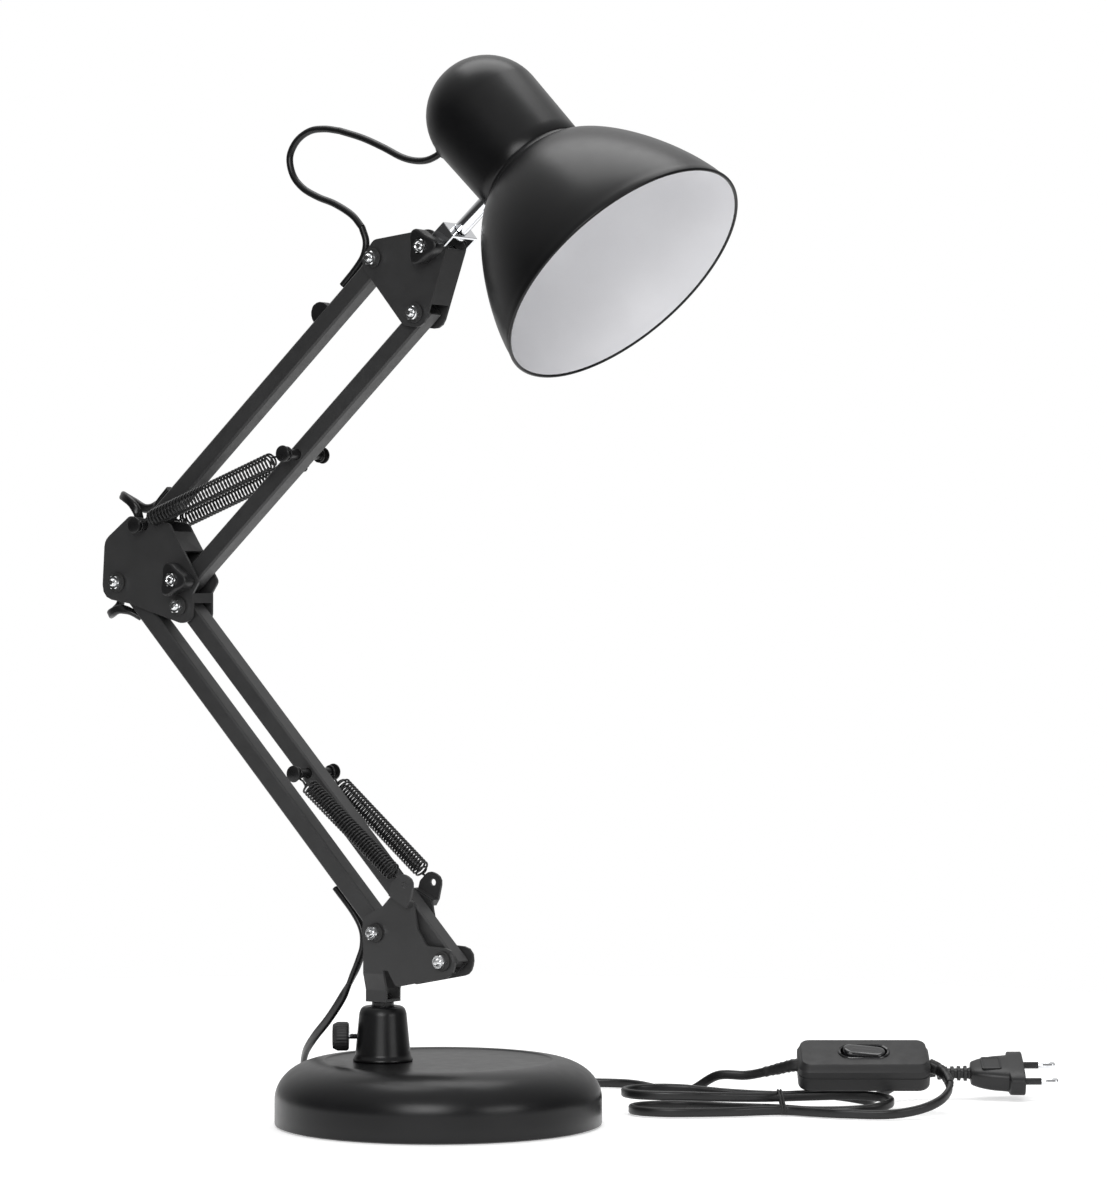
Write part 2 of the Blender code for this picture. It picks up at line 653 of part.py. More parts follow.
def make_socket():
    up = Vector((0, 0, 1))
    foot_z = BASE_H - BASE_RECESS + GAP
    bore = SPIGOT_R + 0.4
    profile = [
        (5.2, 20.0), (5.2, foot_z), (POST_R_FOOT + 1.2, foot_z), (POST_R_FOOT + 1.2, foot_z + 1.2),
        (POST_R_FOOT, foot_z + 3.0), (POST_R_TOP + 0.2, POST_TOP_Z - 4.0), (POST_R_TOP - 0.8, POST_TOP_Z - 1.2),
        (POST_R_TOP - 2.8, POST_TOP_Z), (bore, POST_TOP_Z), (bore, 38.5), (0, 38.5), (0, 20.0),
    ]
    post = node("socket_post", turned(profile, Vector(), up, 24, True), "gloss_black", "root")
    outwards = -ROOM_RIGHT
    cut(post, rod(Vector((0, 0, SCREW_Z)), Vector((0, 0, SCREW_Z)) + 24 * outwards, 1.9, 12))
    hexagon = circle(Vector((0, 0)), 8.5, 6)
    points = []
    for a, b in zip(hexagon, hexagon[1:] + hexagon[:1]):
        points += [a, (a + b) / 2]
    rings = []
    hole = circle(Vector((0, 0)), 5.6, 12)
    for line, z in ((points, 28.2), (points, 32.7), (hole, 32.7), (hole, 28.2)):
        rings.append([Vector((p.x, p.y, z)) for p in line])
    node("socket_nut", skin(bmesh.new(), rings, True), "chrome", "root")
    start = Vector((0, 0, SCREW_Z))
    screw = [(0, SPIGOT_R + GAP), (1.5, SPIGOT_R + GAP), (1.5, 26.0), (0, 26.0)]
    node("thumb_screw", turned(screw, start, outwards, 12, False), "chrome", "thumbscrew")
    knob = [(1.5 + GAP, 18.4), (7.2, 18.4), (7.8, 19.2), (7.8, 24.6), (6.4, 27.2), (1.5 + GAP, 27.2)]
    node("thumb_knob", turned(knob, start, outwards, 20, True), "black_plastic", "thumbscrew")
    spigot = [
        (0, 39.0), (5.4, 39.0), (SPIGOT_R, 39.8), (SPIGOT_R, 66.2), (3.0, 66.2),
        (3.0, 68.3), (4.6, 68.3), (4.2, 69.8), (0, 69.8),
    ]
    node("spigot_pin", turned(spigot, Vector(), up, 16, False), "black_steel", "foot")


# ---- neck and reflector -------------------------------------------------------------------------------


def make_neck():
    pivot = in_plane(NECK_PIVOT)
    across = Vector((-ROD_DIRECTION.z, 0, ROD_DIRECTION.x))
    leg_in, leg_out, web = PLATE_Y + 0.4, PLATE_Y + 1.9, 13.0
    half = 5.2

    def point(along, side):
        p = pivot + ROD_DIRECTION * along + across * side
        return Vector((p.x, p.z))

    arc = [math.pi / 2 + math.pi * i / 8 for i in range(9)]
    outline = [point(web + SHEET, half)] + [point(half * math.cos(t), half * math.sin(t)) for t in arc]
    outline.append(point(web + SHEET, -half))
    fork = node("neck_fork", prism(outline, -leg_out, leg_out), "chrome", "neck")
    hollow = [point(web, 20), point(-20, 20), point(-20, -20), point(web, -20)]
    cut(fork, prism(hollow, -leg_in, leg_in))
    shank = rod(pivot + ROD_DIRECTION * 5, pivot + ROD_DIRECTION * 25, 3.3, 12)
    cut(fork, merged(shank, cross_rod(NECK_PIVOT, BOLT_HOLE_R, -20, 20, 12)))
    profile = [
        (0, web - 2.2), (5.0, web - 2.2), (5.0, web - GAP), (3.0, web - GAP), (3.0, web + SHEET + GAP),
        (ROD_R, web + SHEET + GAP), (ROD_R, 40.6), (3.0, 41.0), (3.0, 46.0), (0, 46.0),
    ]
    node("neck_rod", turned(profile, pivot, ROD_DIRECTION, 16, False), "chrome", "neck")
    bolt("head_lock_bolt", NECK_PIVOT, PLATE_Y + 2.2, -PLATE_Y - 14.0, "head")
    tri_knob("head_knob", NECK_PIVOT, -PLATE_Y - 12.3, -PLATE_Y - 2.2, 0, "head_lock")
    ring = [(3.0 + GAP, 41.4), (6.2, 41.4), (6.2, 44.4), (3.0 + GAP, 44.4)]
    node("swivel_nut", turned(ring, pivot, ROD_DIRECTION, 12, True), "chrome", "shade_body")


def bell_line(offset, steps=8):
    """Profile of the bell from the throat to the rim, moved in by the wall on the inside."""
    line = []
    power = 1.4
    for i in range(steps + 1):
        t = i / steps
        s = THROAT_S + 2.0 + (RIM_S - THROAT_S - 2.0) * t
        rise = (1 - (1 - t) ** power) ** (1 / power)
        line.append((THROAT_R + 1.0 + (RIM_R - THROAT_R - 1.0) * rise - offset, s + (offset if t < 1 else 0)))
    return line


def dome_line(radius, steps=6):
    turn = [math.pi / 2 * i / steps for i in range(steps + 1)]
    return [(radius * math.sin(t) if t > 0 else 0, -radius * math.cos(t)) for t in turn]


def make_shade():
    outer = dome_line(DOME_R) + [(THROAT_R, THROAT_S)] + bell_line(0)
    inner = dome_line(DOME_R - SHADE_WALL) + [(THROAT_R - SHADE_WALL, THROAT_S)] + bell_line(SHADE_WALL)
    profile = outer + list(reversed(inner))
    shade = node("shade", turned(profile, DOME_CENTRE, SHADE_AXIS, 40, False), "gloss_black", "shade_body")
    pivot = in_plane(NECK_PIVOT)
    rod_hole = rod(pivot + ROD_DIRECTION * 36, pivot + ROD_DIRECTION * 47, 4.5, 12)
    outwards = CORD_OUTLET
    cord_start = DOME_CENTRE + DOME_R * outwards
    cut(shade, merged(rod_hole, rod(cord_start - 6 * outwards, cord_start + 6 * outwards, 3.4, 12)))
    grommet = [
        (2.0, -4.0), (4.6, -4.0), (4.6, -1.9), (3.1, -1.9), (3.1, 0.7), (4.6, 0.7), (4.2, 2.6), (2.0, 3.0),
    ]
    node("shade_grommet", turned(grommet, cord_start, outwards, 16, True), "black_rubber", "shade_body")
    holder = [
        (0, -30.6), (4.5, -30.6), (4.5, -26.0), (12.0, -24.0), (18.5, -18.0), (19.5, -14.0), (19.5, 22.0),
        (17.5, 22.0), (17.5, -12.0), (0, -14.0),
    ]
    lampholder = turned(holder, DOME_CENTRE, SHADE_AXIS, 24, False)
    node("lampholder", lampholder, "black_plastic", "shade_body")


# ---- leads --------------------------------------------------------------------------------------------

def soft_box(size, corner, edge, low, high, frame):
    """A block with round corners in plan and a chamfered top, between two heights of its own frame."""
    half = size / 2
    signs = ((-1, -1), (1, -1), (1, 1), (-1, 1))
    plan = rounded([(s * half.x, t * half.y, corner) for s, t in signs], 3)
    top = rounded([(s * (half.x - edge), t * (half.y - edge), corner - edge / 2) for s, t in signs], 3)
    levels = [([Vector((0, 0))], low), (plan, low), (plan, high - edge), (top, high), ([Vector((0, 0))], high)]
    return skin(bmesh.new(), [[frame @ Vector((p.x, p.y, z)) for p in line] for line, z in levels], False)


def leaning_rocker():
    """The rocker's own frame: at its pivot in the cover's well, one end pressed."""
    frame = leaning(SWITCH_CENTRE) @ Matrix.Translation(Vector((0, 0, ROCKER_PIVOT_UP)))
    return frame @ Matrix.Rotation(ROCKER_REST, 4, "Y")


def make_switch():
    frame = leaning(SWITCH_CENTRE)
    half = SWITCH_SIZE.z / 2
    flipped = frame @ Matrix.Rotation(math.pi, 4, "X")
    cover = node("switch_cover", soft_box(SWITCH_SIZE, 7.0, 2.0, GAP, half, frame), "black_plastic", "root")
    bottom = node("switch_base", soft_box(SWITCH_SIZE, 7.0, 2.0, 0.0, half, flipped), "black_plastic", "root")
    well = soft_box(Vector((26.0, 12.4, 0)), 6.0, 0.2, half - 6.4, half + 3, frame)
    for obj in (cover, bottom):
        ports = []
        for s in (-1, 1):
            inner, outer = frame @ Vector((s * 29, 0, 0)), frame @ Vector((s * 45, 0, 0))
            ports.append(rod(inner, outer, MAINS_CORD_R + 0.5, 12))
        cut(obj, merged(*ports, well) if obj is cover else merged(*ports))
    bm = soft_box(Vector((24.0, 11.0, 0)), 5.3, 0.8, -2.2, 3.4, leaning_rocker())
    node("switch_rocker", bm, "gloss_black", "rocker")


def make_plug():
    frame = leaning(PLUG_START)
    axis = ROOM_RIGHT
    sections = [
        (0.0, 3.6, 3.6), (18.0, 4.2, 4.2), (20.0, 7.5, 5.2), (27.0, 10.5, 6.4), (40.0, 13.0, 6.8),
        (41.0, 17.6, 6.9), (49.5, 17.6, 6.9),
    ]
    rings = []
    for along, half_w, half_h in sections:
        turn = [2 * math.pi * i / 16 for i in range(16)]
        ring = []
        for t in turn:
            c, s = math.cos(t), math.sin(t)
            squareness = 0.55
            y = half_w * math.copysign(abs(c) ** squareness, c)
            z = half_h * math.copysign(abs(s) ** squareness, s)
            ring.append(frame @ Vector((along, y, z)))
        rings.append(ring)
    rings = [[frame @ Vector((0, 0, 0))], *rings, [frame @ Vector((49.5, 0, 0))]]
    body = node("plug_body", skin(bmesh.new(), rings, False), "black_plastic", "root")
    grooves = []
    for i in range(4):
        start = frame @ Vector((3.0 + 3.6 * i, 0, 0))
        end_profile = [(3.1, 0.0), (9.0, 0.0), (9.0, 1.4), (3.1, 1.4)]
        grooves.append(turned(end_profile, start, axis, 12, True))
    pins = [(f"plug_pin_{side}", 9.0 * sign) for side, sign in (("front", -1), ("rear", 1))]
    for name, y in pins:
        grooves.append(rod(frame @ Vector((44.0, y, 0)), frame @ Vector((55.0, y, 0)), 2.3, 12))
    cut(body, merged(*grooves))
    for name, y in pins:
        profile = [(0, 0), (2.0, 0), (2.0, 23.2), (1.2, 24.0), (0, 24.2)]
        node(name, turned(profile, frame @ Vector((44.5, y, 0)), axis, 12, False), "chrome", "root")


def make_leads():
    cord("head_cord_shade", HEAD_CORD_SHADE, HEAD_CORD_R, "neck")
    cord("head_cord_loop", HEAD_CORD_LOOP, HEAD_CORD_R, "head")
    cord("elbow_cord", ELBOW_CORD, ELBOW_CORD_R, "elbow", spacing=1.5)
    cord("mains_cord_arm", MAINS_CORD_ARM, MAINS_CORD_R, "foot", spacing=1.5)
    floor_route = MAINS_CORD_FLOOR + [place(*p) for p in MAINS_CORD_BUNDLE]
    cord("mains_cord_floor", floor_route, MAINS_CORD_R, "root", spacing=2.0)
    hank = node("cord_hank", hank_solid(HANK_LENGTH, 0.0, HANK_H), "black_rubber", "root")
    join(hank, hank_solid(HANK_HIGH_END - HANK_CENTRE[0] + HANK_LENGTH / 2, HANK_H - 1.0, HANK_HIGH_H))
    cord("plug_cord", [place(*p) for p in PLUG_CORD], MAINS_CORD_R, "root", spacing=3.0)


def hank_solid(length, low, high):
    """Outline of the folded lead with round ends, measured from its left end."""
    left = HANK_CENTRE[0] - HANK_LENGTH / 2
    half = HANK_WIDTH / 2
    corners = [(left, -half), (left + length, -half), (left + length, half), (left, half)]
    plan = rounded([(x, y, half * 0.98) for x, y in corners], 6)
    return extruded(*[[place(p.x, HANK_CENTRE[1] + p.y, z) for p in plan] for z in (low, high)])


def main():
    clear_scene()
    make_materials()
    make_bodies()
    make_base()
    make_foot_bracket()
    make_arms()
    make_elbow()
    make_head_bracket()
    make_springs()
    make_neck()
    make_shade()
    make_leads()
    make_switch()
    make_plug()


main()
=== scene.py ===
"""Looks of the architect desk lamp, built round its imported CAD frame.

Shapes are worked out in millimetres, in the frame of the CAD: the arm plane is Y = 0, the reflector is
towards +X, and Z = 0 is the table. Every finished mesh is scaled to metres.
"""
import math

import bmesh
import bpy
from mathutils import Matrix, Vector
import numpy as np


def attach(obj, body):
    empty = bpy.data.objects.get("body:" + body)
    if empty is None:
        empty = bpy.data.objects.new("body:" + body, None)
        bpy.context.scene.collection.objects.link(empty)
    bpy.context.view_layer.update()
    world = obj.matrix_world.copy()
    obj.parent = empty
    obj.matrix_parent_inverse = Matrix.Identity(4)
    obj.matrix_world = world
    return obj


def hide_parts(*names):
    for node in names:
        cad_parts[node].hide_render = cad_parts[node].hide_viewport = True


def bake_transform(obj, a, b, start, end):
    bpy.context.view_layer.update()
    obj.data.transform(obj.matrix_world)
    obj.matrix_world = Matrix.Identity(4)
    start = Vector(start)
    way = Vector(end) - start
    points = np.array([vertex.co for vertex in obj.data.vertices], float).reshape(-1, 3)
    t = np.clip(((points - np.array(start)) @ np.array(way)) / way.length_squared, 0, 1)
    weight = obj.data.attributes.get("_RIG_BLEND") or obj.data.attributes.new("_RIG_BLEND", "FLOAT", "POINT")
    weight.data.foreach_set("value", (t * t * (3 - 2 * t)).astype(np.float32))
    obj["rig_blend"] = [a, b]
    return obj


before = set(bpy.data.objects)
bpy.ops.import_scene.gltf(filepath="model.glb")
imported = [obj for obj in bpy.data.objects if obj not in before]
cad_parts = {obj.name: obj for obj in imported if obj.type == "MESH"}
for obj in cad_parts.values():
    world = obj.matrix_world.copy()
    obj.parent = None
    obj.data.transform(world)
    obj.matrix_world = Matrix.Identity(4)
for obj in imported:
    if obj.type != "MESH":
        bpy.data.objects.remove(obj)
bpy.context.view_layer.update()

MM = 0.001
X = Vector((1, 0, 0))
Y = Vector((0, 1, 0))
Z = Vector((0, 0, 1))

AZIMUTH = math.radians(35)
ROOM_RIGHT = Vector((math.cos(AZIMUTH), math.sin(AZIMUTH), 0))
ROOM_BACK = Vector((-math.sin(AZIMUTH), math.cos(AZIMUTH), 0))

FOOT_BACK = Vector((2.0, 0, 104.0))
FOOT_FRONT = Vector((46.8, 0, 90.8))
ELBOW_BACK = Vector((-180.3, 0, 293.0))
ELBOW_FRONT = Vector((-135.5, 0, 279.8))
UPPER_BACK = Vector((-161.3, 0, 325.0))
UPPER_FRONT = Vector((-133.1, 0, 294.4))
HEAD_BACK = Vector((0.6, 0, 467.4))
HEAD_FRONT = Vector((28.8, 0, 436.8))
NECK = Vector((40.8, 0, 471.3))
LOWER_HOOK = Vector((24.7, 0, 131.0))
LOWER_DIRECTION = (ELBOW_BACK - FOOT_BACK).normalized()
UPPER_DIRECTION = (HEAD_BACK - UPPER_BACK).normalized()
LOWER_PEG = FOOT_FRONT + 136.0 * LOWER_DIRECTION
UPPER_PEG = UPPER_FRONT + 103.8 * UPPER_DIRECTION
ROD_ANGLE = math.radians(40)
ROD_DIRECTION = Vector((math.cos(ROD_ANGLE), 0, math.sin(ROD_ANGLE)))
DOME_CENTRE = Vector((69.4, 0, 540.4))
DOME_R = 32.4
SHADE_AXIS = Vector((math.sqrt(0.5), 0, -math.sqrt(0.5)))
CORD_OUTLET = Vector((-math.cos(math.radians(30)), 0, -0.5))
PLATE_Y = 9.0
WASHER_THICK = 1.5
LEAN = math.radians(24)


# ---- shape helpers -------------------------------------------------


def place(right, back, up):
    """A point given across the view, away from it, and up."""
    return ROOM_RIGHT * right + ROOM_BACK * back + Z * up


def leaning(centre):
    """Local frame of a piece that lies along the bundle and leans to the front."""
    tilt = Matrix.Rotation(LEAN, 3, ROOM_RIGHT)
    axes = Matrix((ROOM_RIGHT, tilt @ ROOM_BACK, tilt @ Z)).transposed()
    return Matrix.Translation(place(*centre)) @ axes.to_4x4()


def finished(name, bm, look, body, replaced=(), sharp=35.0):
    """A mesh in metres, smooth but for its sharp edges, that rides on its body."""
    bmesh.ops.recalc_face_normals(bm, faces=bm.faces)
    bmesh.ops.scale(bm, vec=(MM, MM, MM), verts=bm.verts)
    mesh = bpy.data.meshes.new(name)
    bm.to_mesh(mesh)
    bm.free()
    mesh.shade_smooth()
    mesh.set_sharp_from_angle(angle=math.radians(sharp))
    obj = bpy.data.objects.new(name, mesh)
    bpy.context.scene.collection.objects.link(obj)
    mesh.materials.append(look)
    if body:
        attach(obj, body)
    if replaced:
        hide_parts(*replaced)
    return obj


def skin(bm, rings, closed=False):
    """Faces between successive rings of points; a ring of one point is a pole."""
    made = [[bm.verts.new(p) for p in ring] for ring in rings]
    pairs = list(zip(made, made[1:]))
    if closed:
        pairs.append((made[-1], made[0]))
    for a, b in pairs:
        count = max(len(a), len(b))
        for i in range(count):
            j = (i + 1) % count
            corners = [a[i % len(a)], a[j % len(a)], b[j % len(b)], b[i % len(b)]]
            face = list(dict.fromkeys(corners))
            if len(face) > 2:
                bm.faces.new(face)
    return bm


def frame_of(axis):
    """Two unit vectors square to the axis."""
    axis = axis.normalized()
    side = Y if abs(axis.y) < 0.9 else X
    u = (side - side.dot(axis) * axis).normalized()
    return u, axis.cross(u)


def circle(centre, u, v, radius, steps):
    """Points round a centre, in the plane of two unit vectors."""
    turn = [2 * math.pi * i / steps for i in range(steps)]
    return [centre + radius * (math.cos(t) * u + math.sin(t) * v) for t in turn]


def squared_off(value, power):
    """A sine or cosine pushed outwards, so that a circle of them becomes a rounded square."""
    return math.copysign(abs(value) ** power, value)


def turned(profile, start, axis, steps, closed=False, bm=None):
    """A profile of (radius, distance along the axis), turned about the axis."""
    axis = axis.normalized()
    u, v = frame_of(axis)
    rings = []
    for radius, along in profile:
        centre = start + axis * along
        rings.append(circle(centre, u, v, radius, steps) if radius else [centre])
    return skin(bm or bmesh.new(), rings, closed)


def softened(points, radius, steps=3):
    """An open profile whose inner corners are rounded, no further than halfway along their sides."""
    line = [Vector(points[0])]
    for before, here, after in zip(points, points[1:], points[2:]):
        before, here, after = Vector(before), Vector(here), Vector(after)
        a, b = before - here, after - here
        reach = min(radius, 0.45 * a.length, 0.45 * b.length)
        first = here + a.normalized() * reach
        last = here + b.normalized() * reach
        for k in range(steps + 1):
            t = k / steps
            line.append((1 - t) ** 2 * first + 2 * t * (1 - t) * here + t**2 * last)
    line.append(Vector(points[-1]))
    return [(p.x, p.y) for p in line]


def catmull(points, spacing):
    """Points about `spacing` apart on a smooth curve through the route's own points."""
    ends = [2 * points[0] - points[1], *points, 2 * points[-1] - points[-2]]
    line = []
    for a, b, c, d in zip(ends, ends[1:], ends[2:], ends[3:]):
        steps = max(1, round((c - b).length / spacing))
        for k in range(steps):
            t = k / steps
            square = 2 * a - 5 * b + 4 * c - d
            cube = 3 * b - a - 3 * c + d
            line.append(0.5 * (2 * b + (c - a) * t + square * t**2 + cube * t**3))
    line.append(points[-1])
    return line


def tangents(path):
    """Direction of the path at each of its points."""
    return [(b - a).normalized() for a, b in zip([path[0]] + path[:-1], path[1:] + [path[-1]])]


def stations(path):
    """Distance along the path at each of its points."""
    total = [0.0]
    for a, b in zip(path, path[1:]):
        total.append(total[-1] + (b - a).length)
    return total


def sweep(path, section, wide, scales=None):
    """A section of (wide, thin) offsets along a path; `wide` gives its wide axis from distance and length."""
    at = stations(path)
    rings = [[path[0]]]
    for i, (p, along) in enumerate(zip(path, tangents(path))):
        hint = wide(at[i], at[-1])
        u = (hint - hint.dot(along) * along).normalized()
        v = along.cross(u)
        scale = scales[i] if scales else 1.0
        rings.append([p + scale * (a * u + b * v) for a, b in section])
    rings.append([path[-1]])
    return skin(bmesh.new(), rings)


def ring_section(radius, steps):
    """A round section of (wide, thin) offsets."""
    turn = [2 * math.pi * i / steps for i in range(steps)]
    return [(radius * math.cos(t), radius * math.sin(t)) for t in turn]


def wire(path, radius, bm, sides=8):
    """A round wire along any path, without a fixed wide axis."""
    along = tangents(path)
    u = frame_of(along[0])[0]
    rings = [[path[0]]]
    for p, t in zip(path, along):
        u = (u - u.dot(t) * t).normalized()
        v = t.cross(u)
        rings.append([p + a * u + b * v for a, b in ring_section(radius, sides)])
    rings.append([path[-1]])
    return skin(bm, rings)


def rounded_plan(half_x, half_y, corner):
    """Outline of a rectangle with round corners."""
    steps = 6
    plan = []
    for sx, sy, start in ((1, 1, 0), (-1, 1, 90), (-1, -1, 180), (1, -1, 270)):
        centre = Vector((sx * (half_x - corner), sy * (half_y - corner)))
        for k in range(steps + 1):
            t = math.radians(start + 90 * k / steps)
            plan.append(centre + corner * Vector((math.cos(t), math.sin(t))))
    return plan


def plan_ring(spot, half_x, half_y, corner, z):
    """A rounded rectangle at a height of its own frame."""
    return [spot @ Vector((p.x, p.y, z)) for p in rounded_plan(half_x, half_y, corner)]


def block(spot, half_x, half_y, corner, levels):
    """A block with round corners in plan, given by (inset, height) levels in its own frame."""
    least_corner = 0.3
    rings = [[spot @ Vector((0, 0, levels[0][1]))]]
    for inset, z in levels:
        rounding = max(corner - inset, least_corner)
        rings.append(plan_ring(spot, half_x - inset, half_y - inset, rounding, z))
    rings.append([spot @ Vector((0, 0, levels[-1][1]))])
    return skin(bmesh.new(), rings)


def edge_levels(high, radius):
    """Levels that round the top edge of a block."""
    steps = 4
    levels = []
    for k in range(steps + 1):
        t = math.pi / 2 * k / steps
        levels.append((radius * (1 - math.cos(t)), high - radius * (1 - math.sin(t))))
    return levels


# ---- materials -----------------------------------------------------


def surface(name, colour, roughness, metallic=0.0, grain=900.0, depth=0.01, spread=0.05, mottle=0.12,
            coat=0.0, stretch=(1, 1, 1), specular=0.5, cloud=40.0):
    """A procedural finish: clouded colour and roughness, and a fine bump `depth` millimetres high."""
    mat = bpy.data.materials.new(name)
    mat.use_nodes = True
    nodes, links = mat.node_tree.nodes, mat.node_tree.links
    shader = nodes["Principled BSDF"]
    shader.inputs["Metallic"].default_value = metallic
    shader.inputs["Coat Weight"].default_value = coat
    shader.inputs["Coat Roughness"].default_value = 0.12
    shader.inputs["Specular IOR Level"].default_value = specular
    coordinates = nodes.new("ShaderNodeTexCoord")
    mapping = nodes.new("ShaderNodeMapping")
    mapping.inputs["Scale"].default_value = stretch
    links.new(coordinates.outputs["Object"], mapping.inputs["Vector"])

    def noise(scale, detail):
        texture = nodes.new("ShaderNodeTexNoise")
        texture.inputs["Scale"].default_value = scale
        texture.inputs["Detail"].default_value = detail
        links.new(mapping.outputs["Vector"], texture.inputs["Vector"])
        return texture.outputs["Fac"]

    low, high = 0.3, 0.7
    clouds = noise(cloud, 5)
    ramp = nodes.new("ShaderNodeValToRGB")
    ramp.color_ramp.elements[0].position = low
    ramp.color_ramp.elements[1].position = high
    ramp.color_ramp.elements[0].color = (*[c * (1 - mottle) for c in colour], 1)
    ramp.color_ramp.elements[1].color = (*[min(1.0, c * (1 + mottle)) for c in colour], 1)
    links.new(clouds, ramp.inputs["Fac"])
    links.new(ramp.outputs["Color"], shader.inputs["Base Color"])
    level = nodes.new("ShaderNodeMapRange")
    level.inputs["From Min"].default_value = low
    level.inputs["From Max"].default_value = high
    level.inputs["To Min"].default_value = max(0.02, roughness - spread)
    level.inputs["To Max"].default_value = min(1.0, roughness + spread)
    links.new(noise(cloud * 4, 4), level.inputs["Value"])
    links.new(level.outputs["Result"], shader.inputs["Roughness"])
    bump = nodes.new("ShaderNodeBump")
    bump.inputs["Strength"].default_value = 0.6
    bump.inputs["Distance"].default_value = depth * MM
    links.new(noise(grain, 3), bump.inputs["Height"])
    links.new(bump.outputs["Normal"], shader.inputs["Normal"])
    return mat


ENAMEL = surface("black_enamel", (0.006, 0.006, 0.0065), 0.31, grain=420, depth=0.003, spread=0.02,
                 specular=0.3)
WHITE = surface("white_enamel", (0.80, 0.80, 0.82), 0.42, grain=500, depth=0.01, mottle=0.02)
POWDER = surface("satin_powder_coat", (0.033, 0.033, 0.0335), 0.42, grain=1500, depth=0.02, mottle=0.08,
                 specular=0.42)
DARK_STEEL = surface("blackened_spring_steel", (0.012, 0.012, 0.0125), 0.30, 0.3, grain=1200, depth=0.008,
                     specular=0.45)
CHROME = surface("chrome", (0.80, 0.81, 0.83), 0.09, 1.0, grain=260, depth=0.002, spread=0.03, mottle=0.03)
NUT_CHROME = surface("zinc_bright", (0.82, 0.83, 0.84), 0.17, 1.0, grain=900, depth=0.006, spread=0.06)
PLASTIC = surface("matte_plastic", (0.014, 0.014, 0.0145), 0.48, grain=2600, depth=0.03, spread=0.06,
                  specular=0.4)
DARK_PLASTIC = surface("moulded_plastic", (0.009, 0.009, 0.0095), 0.40, grain=2200, depth=0.015, spread=0.05,
                       specular=0.4)
GLOSS_PLASTIC = surface("gloss_plastic", (0.008, 0.008, 0.009), 0.12, grain=500, depth=0.003, coat=0.3)
CABLE = surface("cable_sheath", (0.007, 0.007, 0.0075), 0.33, grain=1800, depth=0.01, spread=0.06,
                specular=0.42)
RUBBER = surface("rubber", (0.016, 0.016, 0.016), 0.70, grain=2400, depth=0.02)
IRON = surface("cast_iron", (0.08, 0.08, 0.08), 0.75, 0.6, grain=700, depth=0.08)
BRASS = surface("contact_brass", (0.72, 0.55, 0.27), 0.3, 1.0, grain=900, depth=0.01)


# ---- camera, light and table ---------------------------------------


def look_at(obj, target):
    """Turn a light so that it shines at a point."""
    obj.rotation_euler = (Vector(target) - obj.location).to_track_quat("-Z", "Y").to_euler()


def make_camera():
    """A long lens, level with the middle of the lamp; its focal length is in units of the image's width."""
    distance, height, across = 2.3, 0.286, 0.0922
    image_width, focal_length, drop = 1107, 4255, 5
    sensor = 36.0
    camera = bpy.data.objects.new("camera", bpy.data.cameras.new("camera"))
    bpy.context.scene.collection.objects.link(camera)
    camera.location = -distance * ROOM_BACK + across * ROOM_RIGHT + height * Z
    camera.rotation_euler = (math.pi / 2, 0, AZIMUTH)
    camera.data.sensor_width = sensor
    camera.data.sensor_fit = "HORIZONTAL"
    camera.data.lens = sensor * focal_length / image_width
    camera.data.shift_y = -drop / image_width
    camera.data.clip_end = 50
    bpy.context.scene.camera = camera


def softbox(name, spot, target, size_x, size_y, watts):
    """A rectangular studio light."""
    data = bpy.data.lights.new(name, "AREA")
    data.shape = "RECTANGLE"
    data.size = size_x
    data.size_y = size_y
    data.energy = watts
    lamp = bpy.data.objects.new(name, data)
    bpy.context.scene.collection.objects.link(lamp)
    lamp.location = spot
    look_at(lamp, target)


